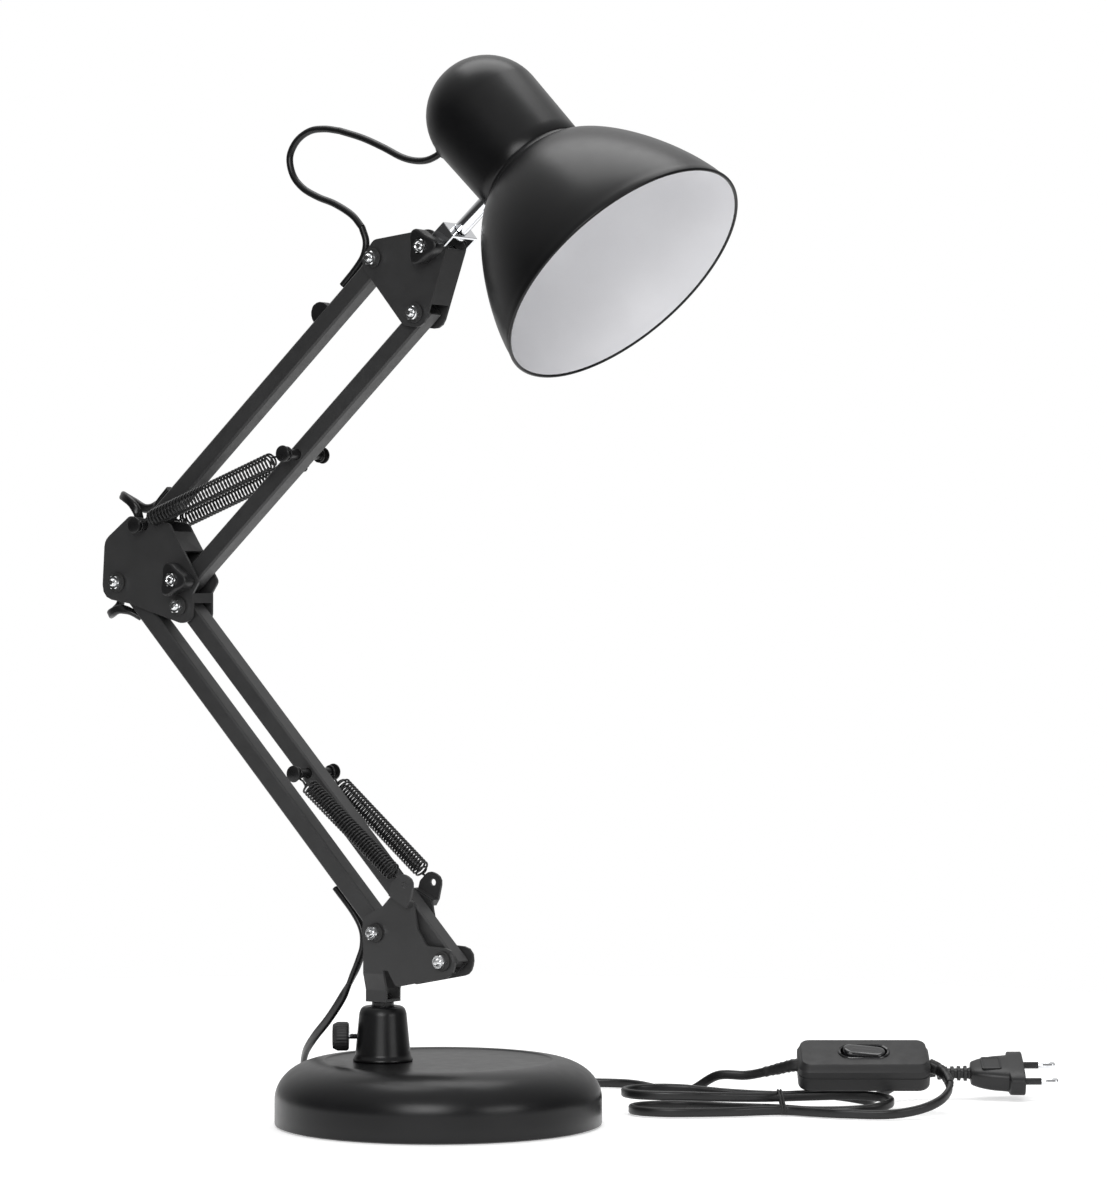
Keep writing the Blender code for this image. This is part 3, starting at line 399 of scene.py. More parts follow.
def make_world():
    """White behind the object; for light and reflections, a dimmer room that is brighter overhead."""
    world = bpy.data.worlds.new("studio")
    bpy.context.scene.world = world
    world.use_nodes = True
    nodes, links = world.node_tree.nodes, world.node_tree.links
    room = nodes["Background"]
    room.inputs["Strength"].default_value = 1.0
    coordinates = nodes.new("ShaderNodeTexCoord")
    split = nodes.new("ShaderNodeSeparateXYZ")
    ramp = nodes.new("ShaderNodeValToRGB")
    links.new(coordinates.outputs["Generated"], split.inputs["Vector"])
    height = nodes.new("ShaderNodeMapRange")
    height.inputs["From Min"].default_value = -1.0
    links.new(split.outputs["Z"], height.inputs["Value"])
    links.new(height.outputs["Result"], ramp.inputs["Fac"])
    stops = ramp.color_ramp.elements
    stops[0].position, stops[0].color = 0.0, (0.10, 0.10, 0.10, 1)
    stops[1].position, stops[1].color = 1.0, (0.8, 0.8, 0.8, 1)
    for position, grey in ((0.47, 0.04), (0.60, 0.05), (0.78, 0.35)):
        stop = stops.new(position)
        stop.color = (grey, grey, grey, 1)
    behind = nodes.new("ShaderNodeVectorMath")
    behind.operation = "DOT_PRODUCT"
    behind.inputs[1].default_value = ROOM_BACK
    links.new(coordinates.outputs["Generated"], behind.inputs[0])
    screen = nodes.new("ShaderNodeMapRange")
    screen.inputs["From Min"].default_value = 0.2
    screen.inputs["From Max"].default_value = 0.9
    screen.inputs["To Max"].default_value = 0.50
    links.new(behind.outputs["Value"], screen.inputs["Value"])
    total = nodes.new("ShaderNodeMath")
    links.new(ramp.outputs["Color"], total.inputs[0])
    links.new(screen.outputs["Result"], total.inputs[1])
    links.new(total.outputs["Value"], room.inputs["Color"])
    backdrop = nodes.new("ShaderNodeBackground")
    backdrop.inputs["Color"].default_value = (1, 1, 1, 1)
    seen = nodes.new("ShaderNodeLightPath")
    mix = nodes.new("ShaderNodeMixShader")
    links.new(seen.outputs["Is Camera Ray"], mix.inputs["Fac"])
    links.new(room.outputs["Background"], mix.inputs[1])
    links.new(backdrop.outputs["Background"], mix.inputs[2])
    links.new(mix.outputs["Shader"], nodes["World Output"].inputs["Surface"])


def make_studio():
    """Three soft lights, and a small pale table that glows a little so that it stays white."""
    target = place(0.0, 0.0, 0.25)
    softbox("key", place(-0.3, -2.2, 1.0), target, 1.2, 1.0, 26)
    softbox("fill", place(1.3, -1.2, 0.5), target, 0.8, 0.5, 5)
    softbox("overhead", place(0.0, 0.4, 2.0), target, 1.5, 1.1, 16)
    floor = bmesh.new()
    reach, below = 900, 0.2
    floor.faces.new([floor.verts.new(p) for p in circle(-below * Z, X, Y, reach, 64)])
    bmesh.ops.scale(floor, vec=(MM, MM, MM), verts=floor.verts)
    mesh = bpy.data.meshes.new("table")
    floor.to_mesh(mesh)
    floor.free()
    table = bpy.data.objects.new("table", mesh)
    bpy.context.scene.collection.objects.link(table)
    pale = surface("pale_table", (0.80, 0.80, 0.80), 0.7, grain=60, depth=0.01, mottle=0.01, specular=0.1)
    shader = pale.node_tree.nodes["Principled BSDF"]
    shader.inputs["Emission Color"].default_value = (1, 1, 1, 1)
    shader.inputs["Emission Strength"].default_value = 0.45
    mesh.materials.append(pale)
    bpy.context.scene.view_settings.view_transform = "Standard"


make_camera()
make_world()
make_studio()


# ---- leads ---------------------------------------------------------

HEAD_CORD_R = 1.9
FLAT_WIDTH = 5.2
FLAT_THICK = 3.3
LEAD_SPACING = 1.2

HEAD_CORD_SHADE = [
    (-29.4, 0, 538.7), (-14, 0, 533.9), (0, 0, 528), (12, 0, 522.2), (21, 0, 519.6), (29, 0, 519.2),
    (35, 0, 520.8), (38.2, 0, 522.4),
]
HEAD_CORD_LOOP = [
    (-14.3, 0, 485.5), (-21.2, 0, 492.5), (-32.9, 0, 499.1), (-44.6, 0, 503.5), (-55.1, 0, 509),
    (-62, 0, 516.5), (-64.2, 0, 526.5), (-59.3, 0, 535), (-50.2, 0, 539.9), (-39.8, 0, 540.4),
    (-29.4, 0, 538.7),
]
HEAD_CORD_ENTRY = [
    (-27.5, 0, 454.5), (-19, 0, 462.6), (-13.2, 0, 469.8), (-11.5, 0, 477.5), (-14.3, 0, 485.5),
]
ELBOW_CORD_HIGH = [
    (-150, 0, 345.5), (-157.5, 0.8, 339.3), (-165.5, 3.6, 335.4), (-174.4, 6.6, 335), (-181.4, 6.6, 338.2),
    (-185.6, 4.2, 341), (-184.8, 0, 342.2), (-179, -4.6, 341), (-172.6, -6.4, 337.6), (-169, -5.2, 331.8),
    (-170.6, -2.2, 326.5), (-176.5, -0.4, 321.5),
]
ELBOW_CORD_LOW = [
    (-176.5, -0.4, 321.5), (-182.5, 0.4, 312.5), (-187, 1.2, 303), (-189.4, 2.6, 294), (-190.4, 4.6, 286.5),
    (-192, 6.2, 280.8), (-194.9, 4.6, 276.8), (-193.8, 0, 275.2), (-188.4, -4.6, 276.2), (-182, -5.8, 278),
    (-176, -3.8, 276.8), (-170.5, -0.4, 273.2),
]
MAINS_CORD_ARM = [(-32, 0, 126.5), (-19.6, 0, 113.6), (-13.8, 0, 104.4), (-13.2, 0, 95.6), (-16.3, 0, 87.4)]
MAINS_CORD_FLOOR = [
    (-16.3, 0, 87.4), (-19.5, 0.4, 81.5), (-28.3, 1.5, 67.7), (-41, 5, 54.3), (-56, 11, 42.5),
    (-69, 19.5, 32), (-78, 30, 20), (-81.5, 44, 9), (-81, 60, 3.2), (-77, 84, 2.8), (-69, 112, 2.8),
    (-56, 142, 2.8), (-38, 172, 2.8), (-16, 197, 2.8), (6, 211, 2.8),
]
MAINS_CORD_BUNDLE = [       # across, behind, up
    (141, 160, 2.8), (154, 134, 2.8), (163, 108, 3.6), (171, 86, 9), (184, 77, 17.6), (200, 73, 18.2),
    (214, 67.5, 21.6), (224.8, 61.3, 24.9), (229.5, 60.3, 25.2),
]
HANK = [                    # across, behind, up: from the switch, through two folds at each end, to the plug
    (300.5, 60, 25.2), (306.5, 57, 22.5), (310, 50, 18.5), (310, 41, 14), (304, 31, 9), (292, 23.5, 5),
    (275, 18.5, 3), (250, 22.5, 2.9), (234, 30, 2.9), (217, 37.5, 2.9), (190, 30, 3), (165, 27, 3),
    (152, 27.5, 3), (140, 33, 3), (135, 44, 3), (140, 55, 3), (152, 60.5, 3), (165, 60.5, 3),
    (190, 51, 3), (217, 44, 2.9), (232, 34.5, 3), (250, 29.5, 3.6), (264, 29.5, 4.6), (274.5, 35, 5.9),
    (278.5, 45, 7.0), (274, 55.5, 7.9), (263, 60, 8.4), (250, 58.5, 8.7), (217, 48, 9.0),
    (200, 41, 9.6), (182, 34.5, 10.6), (165, 32, 11.4), (149, 32.5, 11.6), (136.5, 38, 11.6),
    (131, 50, 11.6), (136.5, 62, 11.6), (149, 67.5, 11.6), (165, 67.5, 11.2), (190, 60.5, 9.6),
    (217, 55.5, 8.9), (240, 66, 8.4), (255, 74, 6), (268, 79.6, 3.4), (272, 88, 3.6), (278, 98, 5.6),
    (287.5, 108.5, 9.6), (298, 115.6, 13.0), (308.6, 118, 14.2),
]


def flat_section():
    """Two cores side by side under one sheath, with a shallow hollow between them."""
    steps, hollow_depth, hollow_reach = 20, 0.1, 0.9
    section = []
    for i in range(steps):
        t = 2 * math.pi * i / steps
        across = FLAT_WIDTH / 2 * squared_off(math.cos(t), 0.75)
        waist = 1 - hollow_depth * math.exp(-((across / hollow_reach) ** 2))
        section.append((across, FLAT_THICK / 2 * waist * squared_off(math.sin(t), 0.8)))
    return section


def smooth(t):
    """A step from 0 to 1 that starts and ends gently."""
    t = min(max(t, 0.0), 1.0)
    return t * t * (3 - 2 * t)


def evenly(s, total):
    """The second body's share of a point, which grows along the whole lead."""
    return smooth(s / total)


def across_arm(s, total):
    return Y


def upright(s, total):
    return Z


def along_weights(obj, path, share):
    """Blend weights by distance along the path: `share` gives the second body's part."""
    at = stations(path)
    reach = [p * MM for p in path]
    weights = obj.data.attributes["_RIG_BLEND"].data
    for vertex in obj.data.vertices:
        nearest = min(range(len(reach)), key=lambda i: (vertex.co - reach[i]).length_squared)
        weights[vertex.index].value = share(at[nearest], at[-1])


def make_lead(name, route, section, wide, replaced, bodies, share=evenly):
    """A lead that follows one body at its start and another at its end."""
    path = catmull([Vector(p) for p in route], LEAD_SPACING)
    first, second = bodies
    carrier = first if first == second else None
    obj = finished(name, sweep(path, section, wide), CABLE, carrier, replaced, sharp=60)
    if not carrier:
        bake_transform(obj, first, second, start=path[0] * MM, end=path[-1] * MM)
        along_weights(obj, path, share)
    return path


def make_head_cord():
    """The round lead from the upper arm to the dome, in three parts that meet end to end."""
    section = ring_section(HEAD_CORD_R, 14)
    for name, route, replaced, bodies in (
        ("head_cord_at_arm", HEAD_CORD_ENTRY, (), ("upper_arm_rear", "head")),
        ("head_cord_bend", HEAD_CORD_LOOP, ("head_cord_loop",), ("head", "neck")),
        ("head_cord_to_shade", HEAD_CORD_SHADE, ("head_cord_shade",), ("neck", "shade_body")),
    ):
        make_lead(name, route, section, across_arm, replaced, bodies)


def make_elbow_cord():
    """The flat lead bulges out of the arms' backs in a loop that lies edge on to the front."""
    high_square = Vector((0.48, 0, 0.87))
    low_square = Vector((-0.5, 0, 0.87))

    def high_wide(s, total):
        return Y.lerp(high_square, smooth((s - 5) / 13) - smooth((s - total + 22) / 16))

    def low_wide(s, total):
        return Y.lerp(low_square, smooth((s - 20) / 16) - smooth((s - total + 15) / 13))

    for name, route, wide, replaced, bodies in (
        ("elbow_lead_high", ELBOW_CORD_HIGH, high_wide, ("elbow_cord",), ("upper_arm_rear", "elbow")),
        ("elbow_lead_low", ELBOW_CORD_LOW, low_wide, (), ("elbow", "lower_arm_rear")),
    ):
        make_lead(name, route, flat_section(), wide, replaced, bodies)


def tapered_relief(name, path, length):
    """A ribbed sleeve round the first `length` of a path, thick at the housing and thin at its end."""
    thick, thin, groove = 1.12, 0.845, 0.0896
    rib, plain_start, plain_end = 1.7, 3, 2
    wider, thicker = 1.32, 1.7
    kept, scales = [], []
    for p, s in zip(path, stations(path)):
        if s > length:
            break
        in_groove = plain_start < s < length - plain_end and s % (2 * rib) > rib
        kept.append(p)
        scales.append(thick + (thin - thick) * s / length - (groove if in_groove else 0.0))
    section = [(a * wider, b * thicker) for a, b in flat_section()]
    finished(name, sweep(kept, section, upright, scales), DARK_PLASTIC, "root", (), sharp=40)


def make_arm_lead():
    make_lead(
        "mains_lead_at_arm", MAINS_CORD_ARM, flat_section(), across_arm, ("mains_cord_arm",),
        ("lower_arm_rear", "foot"),
    )


def make_floor_lead():
    """The flat lead from the foot to the switch, which turns to stand on edge as it comes down."""
    route = MAINS_CORD_FLOOR + [tuple(place(*p)) for p in MAINS_CORD_BUNDLE]

    def standing(s, total):
        return Y.lerp(Z, smooth(s / 28))

    def grounded(s, total):
        return smooth((s - 12) / 130)

    path = make_lead(
        "mains_lead", route, flat_section(), standing, ("mains_cord_floor",), ("foot", "root"),
        grounded,
    )
    tapered_relief("switch_relief_left", path[::-1], 23.0)


def make_hank(pieces):
    """The folded lead from the switch to the plug, which leans with the plug at its end."""
    route = [tuple(place(*p)) for p in HANK]
    tilted = Matrix.Rotation(LEAN, 3, ROOM_RIGHT) @ ROOM_BACK

    def standing(s, total):
        return Z.lerp(tilted, smooth((s - total + 45) / 40))

    path = make_lead(
        "mains_hank", route, flat_section(), standing, ("cord_hank", "plug_cord"),
        ("root", "root"),
    )
    tapered_relief("switch_relief_right", path, 22.0)


# ---- switch, plug and tie ------------------------------------------

SWITCH_CENTRE = (264.0, 60.0, 25.2)
SWITCH_HALF = (36.5, 15.5, 8.5)
PLUG_START = (309.5, 118.0, 14.2)


def make_switch_top(spot):
    """The switch's upper shell: a softly bevelled box with a sunk oval well for the rocker."""
    half_x, half_y, half_z = SWITCH_HALF
    corner = 7.0
    levels = [(0.5, 0.0), (0.5, 0.35), (0.0, 0.6), (0.0, 4.2)]
    levels += [(1.6 * k / 4 + 0.2, 4.2 + (half_z - 5.0) * k / 4) for k in range(1, 4)]
    levels += [(1.7, half_z - 0.6), (2.1, half_z - 0.15), (2.7, half_z)]
    rings = [[spot @ Vector((0, 0, levels[0][1]))]]
    for inset, z in levels:
        rings.append(plan_ring(spot, half_x - inset, half_y - inset, corner - inset, z))
    well_floor = half_z - 5.5
    for grown, z in ((0.5, half_z), (0.0, half_z - 0.5), (0.0, well_floor)):
        rings.append(plan_ring(spot, 13.0 + grown, 6.2 + grown, 6.0 + grown, z))
    rings.append([spot @ Vector((0, 0, well_floor))])
    shell = skin(bmesh.new(), rings)
    return finished("switch_top", shell, PLASTIC, "root", ("switch_cover",), sharp=30)


def make_switch_bezel(spot):
    """A thin raised oval ring round the rocker."""
    top = SWITCH_HALF[2]
    levels = ((2.0, -0.2), (1.9, 0.5), (1.3, 0.9), (0.5, 0.5), (0.3, -1.5))
    rings = [plan_ring(spot, 12.5 + grown, 5.7 + grown, 5.6 + grown, top + rise) for grown, rise in levels]
    return finished(
        "switch_bezel", skin(bmesh.new(), rings), GLOSS_PLASTIC, "root", (), sharp=50,
    )


def make_switch_bottom(spot):
    half_x, half_y, half_z = SWITCH_HALF
    flipped = spot @ Matrix.Rotation(math.pi, 4, "X")
    levels = [(0.4, 0.0), (0.0, 0.3)] + edge_levels(half_z, 2.4)
    shell = block(flipped, half_x, half_y, 7.0, levels)
    return finished("switch_bottom", shell, PLASTIC, "root", ("switch_base",), sharp=30)


def make_rocker(spot):
    """The rocker's cap, tipped to one side and dished along its length."""
    tipped = math.radians(6)
    pivot = spot @ Matrix.Translation(Vector((0, 0, 6.4))) @ Matrix.Rotation(tipped, 4, "Y")
    half_x, half_y = 11.8, 5.3
    least_corner, dish = 0.4, 0.9
    foot, crown = -2.0, 3.4
    rings = [[pivot @ Vector((0, 0, foot))]]
    for inset, z in ((0.0, foot), (0.0, 2.2), (0.25, 2.9), (0.8, 3.3), (1.8, 3.5), (3.2, 3.45), (4.6, crown)):
        plan = rounded_plan(half_x - inset, half_y - inset, max(half_y - 0.1 - inset, least_corner))
        depth = 0 if z == foot else dish
        rings.append([pivot @ Vector((p.x, p.y, z + depth * (p.x / half_x) ** 2)) for p in plan])
    rings.append([pivot @ Vector((0, 0, crown))])
    cap = skin(bmesh.new(), rings)
    return finished("rocker_cap", cap, GLOSS_PLASTIC, "rocker", ("switch_rocker",), sharp=50)


def make_switch():
    spot = leaning(SWITCH_CENTRE)
    return [make_switch_top(spot), make_switch_bezel(spot), make_switch_bottom(spot), make_rocker(spot)]


def make_plug_shell(spot):
    """The plug's body: a ribbed neck that widens into a flat grip and a broad face."""
    sections = []
    for i in range(5):
        start = 0.6 + 3.7 * i
        size = 3.7 + 0.16 * i
        sections += [
            (start, 3.0, 2.6), (start + 0.3, size, size - 0.4), (start + 2.0, size + 0.05, size - 0.35),
            (start + 2.3, 3.0, 2.6),
        ]
    sections += [
        (19.2, 3.4, 3.2), (19.6, 6.6, 4.6), (20.6, 7.6, 5.2), (24.0, 9.3, 5.9), (28.0, 10.7, 6.4),
        (33.0, 12.0, 6.7), (39.0, 12.9, 6.8), (40.4, 13.4, 6.8), (41.0, 16.8, 6.8), (41.6, 17.5, 6.9),
        (49.0, 17.6, 6.9), (49.5, 17.1, 6.5),
    ]
    neck_end, steps = 19.3, 40
    rings = [[spot @ Vector((sections[0][0], 0, 0))]]
    for along, half_w, half_h in sections:
        power = 0.55 if along > neck_end else 0.8
        ring = []
        for i in range(steps):
            t = 2 * math.pi * i / steps
            wide = half_w * squared_off(math.cos(t), power)
            ring.append(spot @ Vector((along, wide, half_h * squared_off(math.sin(t), power))))
        rings.append(ring)
    rings.append([spot @ Vector((sections[-1][0], 0, 0))])
    shell = skin(bmesh.new(), rings)
    return finished("plug_shell", shell, DARK_PLASTIC, "root", ("plug_body",), sharp=35)


def make_plug():
    spot = leaning(PLUG_START)
    panel = spot @ Matrix.Translation(Vector((31.0, 0, 6.25)))
    levels = [(0.0, 0.0), (0.0, 0.75), (0.25, 0.9), (1.0, 0.95), (1.25, 0.7)]
    label = block(panel, 5.6, 6.4, 1.4, levels)
    made = [
        make_plug_shell(spot),
        finished("plug_panel", label, DARK_PLASTIC, "root", (), sharp=35),
    ]
    sleeve = [(0, 0), (1.95, 0), (1.95, 9.6), (1.8, 9.9), (0, 9.9)]
    pin = [(0, 9.0), (1.75, 9.0), (1.95, 10.0), (2.0, 10.2), (2.0, 17.6), (1.8, 18.5), (1.2, 19.1), (0, 19.4)]
    for side, y in (("front", -9.0), ("rear", 9.0)):
        base = spot @ Vector((49.3, y, 0))
        for name, profile, look, slot, replaced in (
            ("plug_sleeve", sleeve, DARK_PLASTIC, "black_plastic", ()),
            ("plug_tip", pin, CHROME, "chrome", (f"plug_pin_{side}",)),
        ):
            bm = turned(profile, base, ROOM_RIGHT, 24)
            sharp = 40 if replaced else 35
            made.append(finished(f"{name}_{side}", bm, look, "root", replaced, sharp))
    return made


def make_tie():
    """Two turns of thin black tie round the hank."""
    bm = bmesh.new()
    for shift in (0.0, 1.5):
        path = []
        for i in range(49):
            t = 2 * math.pi * i / 48
            back = 46.3 + 11.6 * squared_off(math.cos(t), 0.6)
            up = 6.6 + 6.0 * squared_off(math.sin(t), 0.6)
            lean = 0.20 * (up - 6)
            path.append(place(217.5 - lean + shift, back, up))
        wire(path, 0.62, bm, 6)
    finished("cord_tie", bm, RUBBER, "root", (), sharp=50)


make_head_cord()
make_elbow_cord()
make_arm_lead()
switch_pieces = make_switch()
make_floor_lead()
make_hank(make_plug())
make_tie()


# ---- reflector -----------------------------------------------------


def shade_profile(offset):
    """Line from the dome's pole to the rim, moved in by `offset`."""
    throat_r, throat_s, rim_r, rim_s = 31.0, 46.0, 73.0, 124.0
    dome_r = DOME_R - offset
    line = []
    for i in range(17):
        t = math.pi / 2 * i / 16
        line.append((dome_r * math.sin(t), -dome_r * math.cos(t)))
    line[0] = (0, line[0][1])
    line += [(throat_r - offset + 0.6, throat_s - 8.0), (throat_r - offset + 0.45, throat_s - 1.6)]
    line += [(throat_r - offset - 0.1, throat_s - 0.8), (throat_r - offset, throat_s + 0.4)]
    line.append((throat_r - offset + 0.5, throat_s + 1.2))
    power, steps = 1.4, 36
    for i in range(steps + 1):
        t = (i / steps) ** 1.6
        s = throat_s + 2.0 + (rim_s - throat_s - 2.0) * t
        rise = (1 - (1 - t) ** power) ** (1 / power)
        line.append((throat_r + 1.0 + (rim_r - throat_r - 1.0) * rise - offset, s))
    return line


def make_shade():
    """The reflector: an enamelled shell with a rolled lip, black outside and white inside."""
    outer = shade_profile(0.0)
    inner = shade_profile(1.0)
    rim_r, rim_s, bead = outer[-1][0] - 0.4, outer[-1][1], 0.95
    half_turn = [math.pi * k / 8 for k in range(9)]
    lip = [(rim_r + bead * math.cos(t), rim_s + bead * math.sin(t)) for t in half_turn]
    steps = 128
    shell = turned(outer[:-1] + lip, DOME_CENTRE, SHADE_AXIS, steps)
    outer_faces = len(shell.faces)
    turned([(rim_r - bead, rim_s)] + inner[-2::-1], DOME_CENTRE, SHADE_AXIS, steps, bm=shell)
    bmesh.ops.remove_doubles(shell, verts=shell.verts, dist=0.001)
    shell.faces.ensure_lookup_table()
    for face in shell.faces[outer_faces:]:
        face.material_index = 1
    obj = finished("reflector", shell, ENAMEL, "shade_body", ("shade",), sharp=35)
    obj.data.materials.append(WHITE)


def make_lampholder():
    """The plastic holder in the dome, with the brass thread that takes the bulb."""
    holder = softened([
        (0, -30.4), (4.5, -30.4), (4.5, -26), (12, -24), (18.5, -18), (19.5, -14), (19.5, 21.0), (19.0, 22),
        (17.5, 22), (17.5, -12), (0, -14),
    ], 0.8)
    bm = turned(holder, DOME_CENTRE, SHADE_AXIS, 64)
    finished("lampholder_body", bm, DARK_PLASTIC, "shade_body", ("lampholder",), sharp=35)
    radius, wave, pitch = 16.9, 0.45, 3.6
    heights = [-10.0 + 28.0 * i / 59 for i in range(60)]
    thread = [(radius + wave * math.sin(2 * math.pi * s / pitch), s) for s in heights]
    thread = [(0, -12.5), (16.4, -12.5)] + thread + [(17.45, 18.3), (17.45, -13.2), (0, -13.2)]
    bm = turned(thread, DOME_CENTRE, SHADE_AXIS, 48)
    finished("lampholder_thread", bm, BRASS, "shade_body", (), sharp=45)


def make_grommet():
    start = DOME_CENTRE + DOME_R * CORD_OUTLET
    profile = softened([
        (2.0, -4), (4.6, -4), (4.6, -1.9), (3.1, -1.9), (3.1, 0.7), (4.8, 0.7), (4.4, 2.6), (2.6, 3.4),
        (2.0, 3.4),
    ], 0.5)
    bm = turned(profile, start, CORD_OUTLET, 32, True)
    finished("cord_grommet", bm, RUBBER, "shade_body", ("shade_grommet",), sharp=40)


# ---- base ----------------------------------------------------------


def make_base():
    """The pressed cover of the base: a round edge, a flat top with a shallow recess, and a turned-in foot."""
    centre = Vector((24.6, 17.2, 0))
    radius, flat_r, edge_z, height, recess = 88.5, 62.5, 14.0, 35.0, 0.8
    outer = [(radius - 1.0, 0.5), (radius - 0.2, 0.8), (radius, 1.6), (radius, 8.0)]
    for i in range(25):
        t = math.pi / 2 * i / 24
        outer.append((flat_r + (radius - flat_r) * math.cos(t), edge_z + (height - edge_z) * math.sin(t)))
    floor = height - recess
    outer += [(flat_r - 0.5, height - 0.05), (flat_r - 1.0, height - recess * 0.7), (flat_r - 2.0, floor)]
    outer += [(40.0, floor), (20.0, floor), (0, floor)]
    under = [(0, 20.0), (radius - 8.0, 20.0), (radius - 2.2, 8.0), (radius - 2.2, 0.6)]
    bm = turned(outer + under, centre, Z, 160)
    finished("base_shell", bm, ENAMEL, "root", ("base_cover",), sharp=35)


def make_socket():
    """The tapering post, open at the top for the foot's spigot."""
    bore, bore_floor, base_z = 6.4, 38.5, 30.0
    profile = softened([
        (5.2, base_z), (5.2, 34.4), (16.2, 34.4), (16.2, 35.6), (15.0, 37.6), (12.8, 60.0), (12.3, 61.6),
        (11.4, 63.2), (9.8, 64.0), (7.0, 64.0), (bore, 63.4), (bore, 45.0),
    ], 0.9)
    profile += [(bore, bore_floor), (0, bore_floor), (0, base_z)]
    bm = turned(profile, Vector(), Z, 96)
    finished("post_shell", bm, ENAMEL, "root", ("socket_post",), sharp=40)


def make_thumbscrew():
    """A screw into the side of the post, with a knurled knob."""
    start = Vector((0, 0, 47.5))
    outwards = -ROOM_RIGHT
    radius, root = 1.5, 1.28
    screw = [(0, 6.3), (radius, 6.3), (radius, 12.4)]
    thread_from, thread_to, pitch = 12.4, 18.4, 0.8
    count = int((thread_to - thread_from) / pitch)
    for i in range(count):
        s = thread_from + pitch * i
        screw += [(radius, s), (root, s + pitch / 2)]
    screw += [(radius, thread_to), (radius, 26.0), (0, 26.0)]
    bm = turned(screw, start, outwards, 32)
    finished("thumbscrew_shaft", bm, CHROME, "thumbscrew", ("thumb_screw",), sharp=30)
    knob = softened([
        (1.5, 18.6), (4.0, 18.4), (7.0, 18.4), (7.8, 19.3), (7.8, 24.5), (6.5, 27.1), (0, 27.1),
    ], 0.5)
    bm = turned(knob, start, outwards, 96)
    knurls, knurl_depth, smooth_radius = 24, 0.22, 7.0
    for vertex in bm.verts:
        arm = vertex.co - start
        radial = arm - arm.dot(outwards) * outwards
        if radial.length > smooth_radius:
            angle = math.atan2(radial.z, radial.dot(ROOM_BACK))
            vertex.co -= radial.normalized() * knurl_depth * max(0.0, math.cos(knurls * angle)) ** 2
    finished("thumbscrew_knob", bm, PLASTIC, "thumbscrew", ("thumb_knob",), sharp=35)


# ---- fasteners -----------------------------------------------------


def hexagon(p, y, across, limit):
    """Outline of a hexagon across the arm plane, its corners cut by the chamfer's cone at this height."""
    steps = 4
    corner = across / math.sqrt(3)
    sixths = [math.radians(60 * i) for i in range(6)]
    points = [corner * Vector((math.cos(t), math.sin(t))) for t in sixths]
    ring = []
    for a, b in zip(points, points[1:] + points[:1]):
        for k in range(steps):
            q = a.lerp(b, k / steps)
            q = q.normalized() * min(q.length, limit)
            ring.append(Vector((p.x + q.x, y, p.z + q.y)))
    return ring


def hex_nut(p, y_in, y_out):
    """A chamfered nut with its bore, between two heights across the arm plane."""
    across, bore = 7.0, 1.95
    step = 1 if y_out > y_in else -1
    corner = across / math.sqrt(3)
    rings = [
        hexagon(p, y_in, across, corner - 0.35),
        hexagon(p, y_in + 0.35 * step, across, corner),
        hexagon(p, y_out - 0.45 * step, across, corner),
        hexagon(p, y_out, across, corner - 0.6),
    ]
    for y, radius in ((y_out, bore + 0.5), (y_out - 0.4 * step, bore), (y_in, bore)):
        rings.append(circle(Vector((p.x, y, p.z)), X, Z, radius, len(rings[0])))
    return skin(bmesh.new(), rings, True)


def make_bolt(name, p, head_y, thread_y, tip_y, body, replaced):
    """A domed head, a plain shank and a threaded tip, along -Y."""
    radius, root, pitch, chamfer = 2.0, 1.76, 0.7, 0.7
    profile = [(0, 2.9), (1.6, 2.8), (2.9, 2.5), (3.6, 1.9), (3.9, 1.2), (3.9, 0.4), (3.6, 0), (radius, 0)]
    shank = head_y - thread_y
    length = thread_y - tip_y - chamfer
    profile.append((radius, -shank))
    for i in range(int(length / pitch)):
        if i > 0:
            profile.append((radius, -shank - i * pitch))
        profile.append((root, -shank - (i + 0.5) * pitch))
    end = -shank - length
    profile += [(radius - 0.1, end), (radius - 0.65, end - chamfer), (0, end - chamfer - 0.05)]
    bm = turned(profile, Vector((p.x, head_y, p.z)), Y, 32)
    finished(name, bm, NUT_CHROME, body, replaced, sharp=30)


def make_washer(name, p, body):
    """A dark washer between a bracket's front plate and the nut."""
    bore, radius, thick = 2.2, 5.2, WASHER_THICK - 0.05
    profile = softened([(bore, 0), (radius, 0), (radius, thick), (bore, thick)], 0.3)
    bm = turned(profile, Vector((p.x, -PLATE_Y - WASHER_THICK, p.z)), Y, 40, True)
    finished(name, bm, RUBBER, body, (), sharp=40)


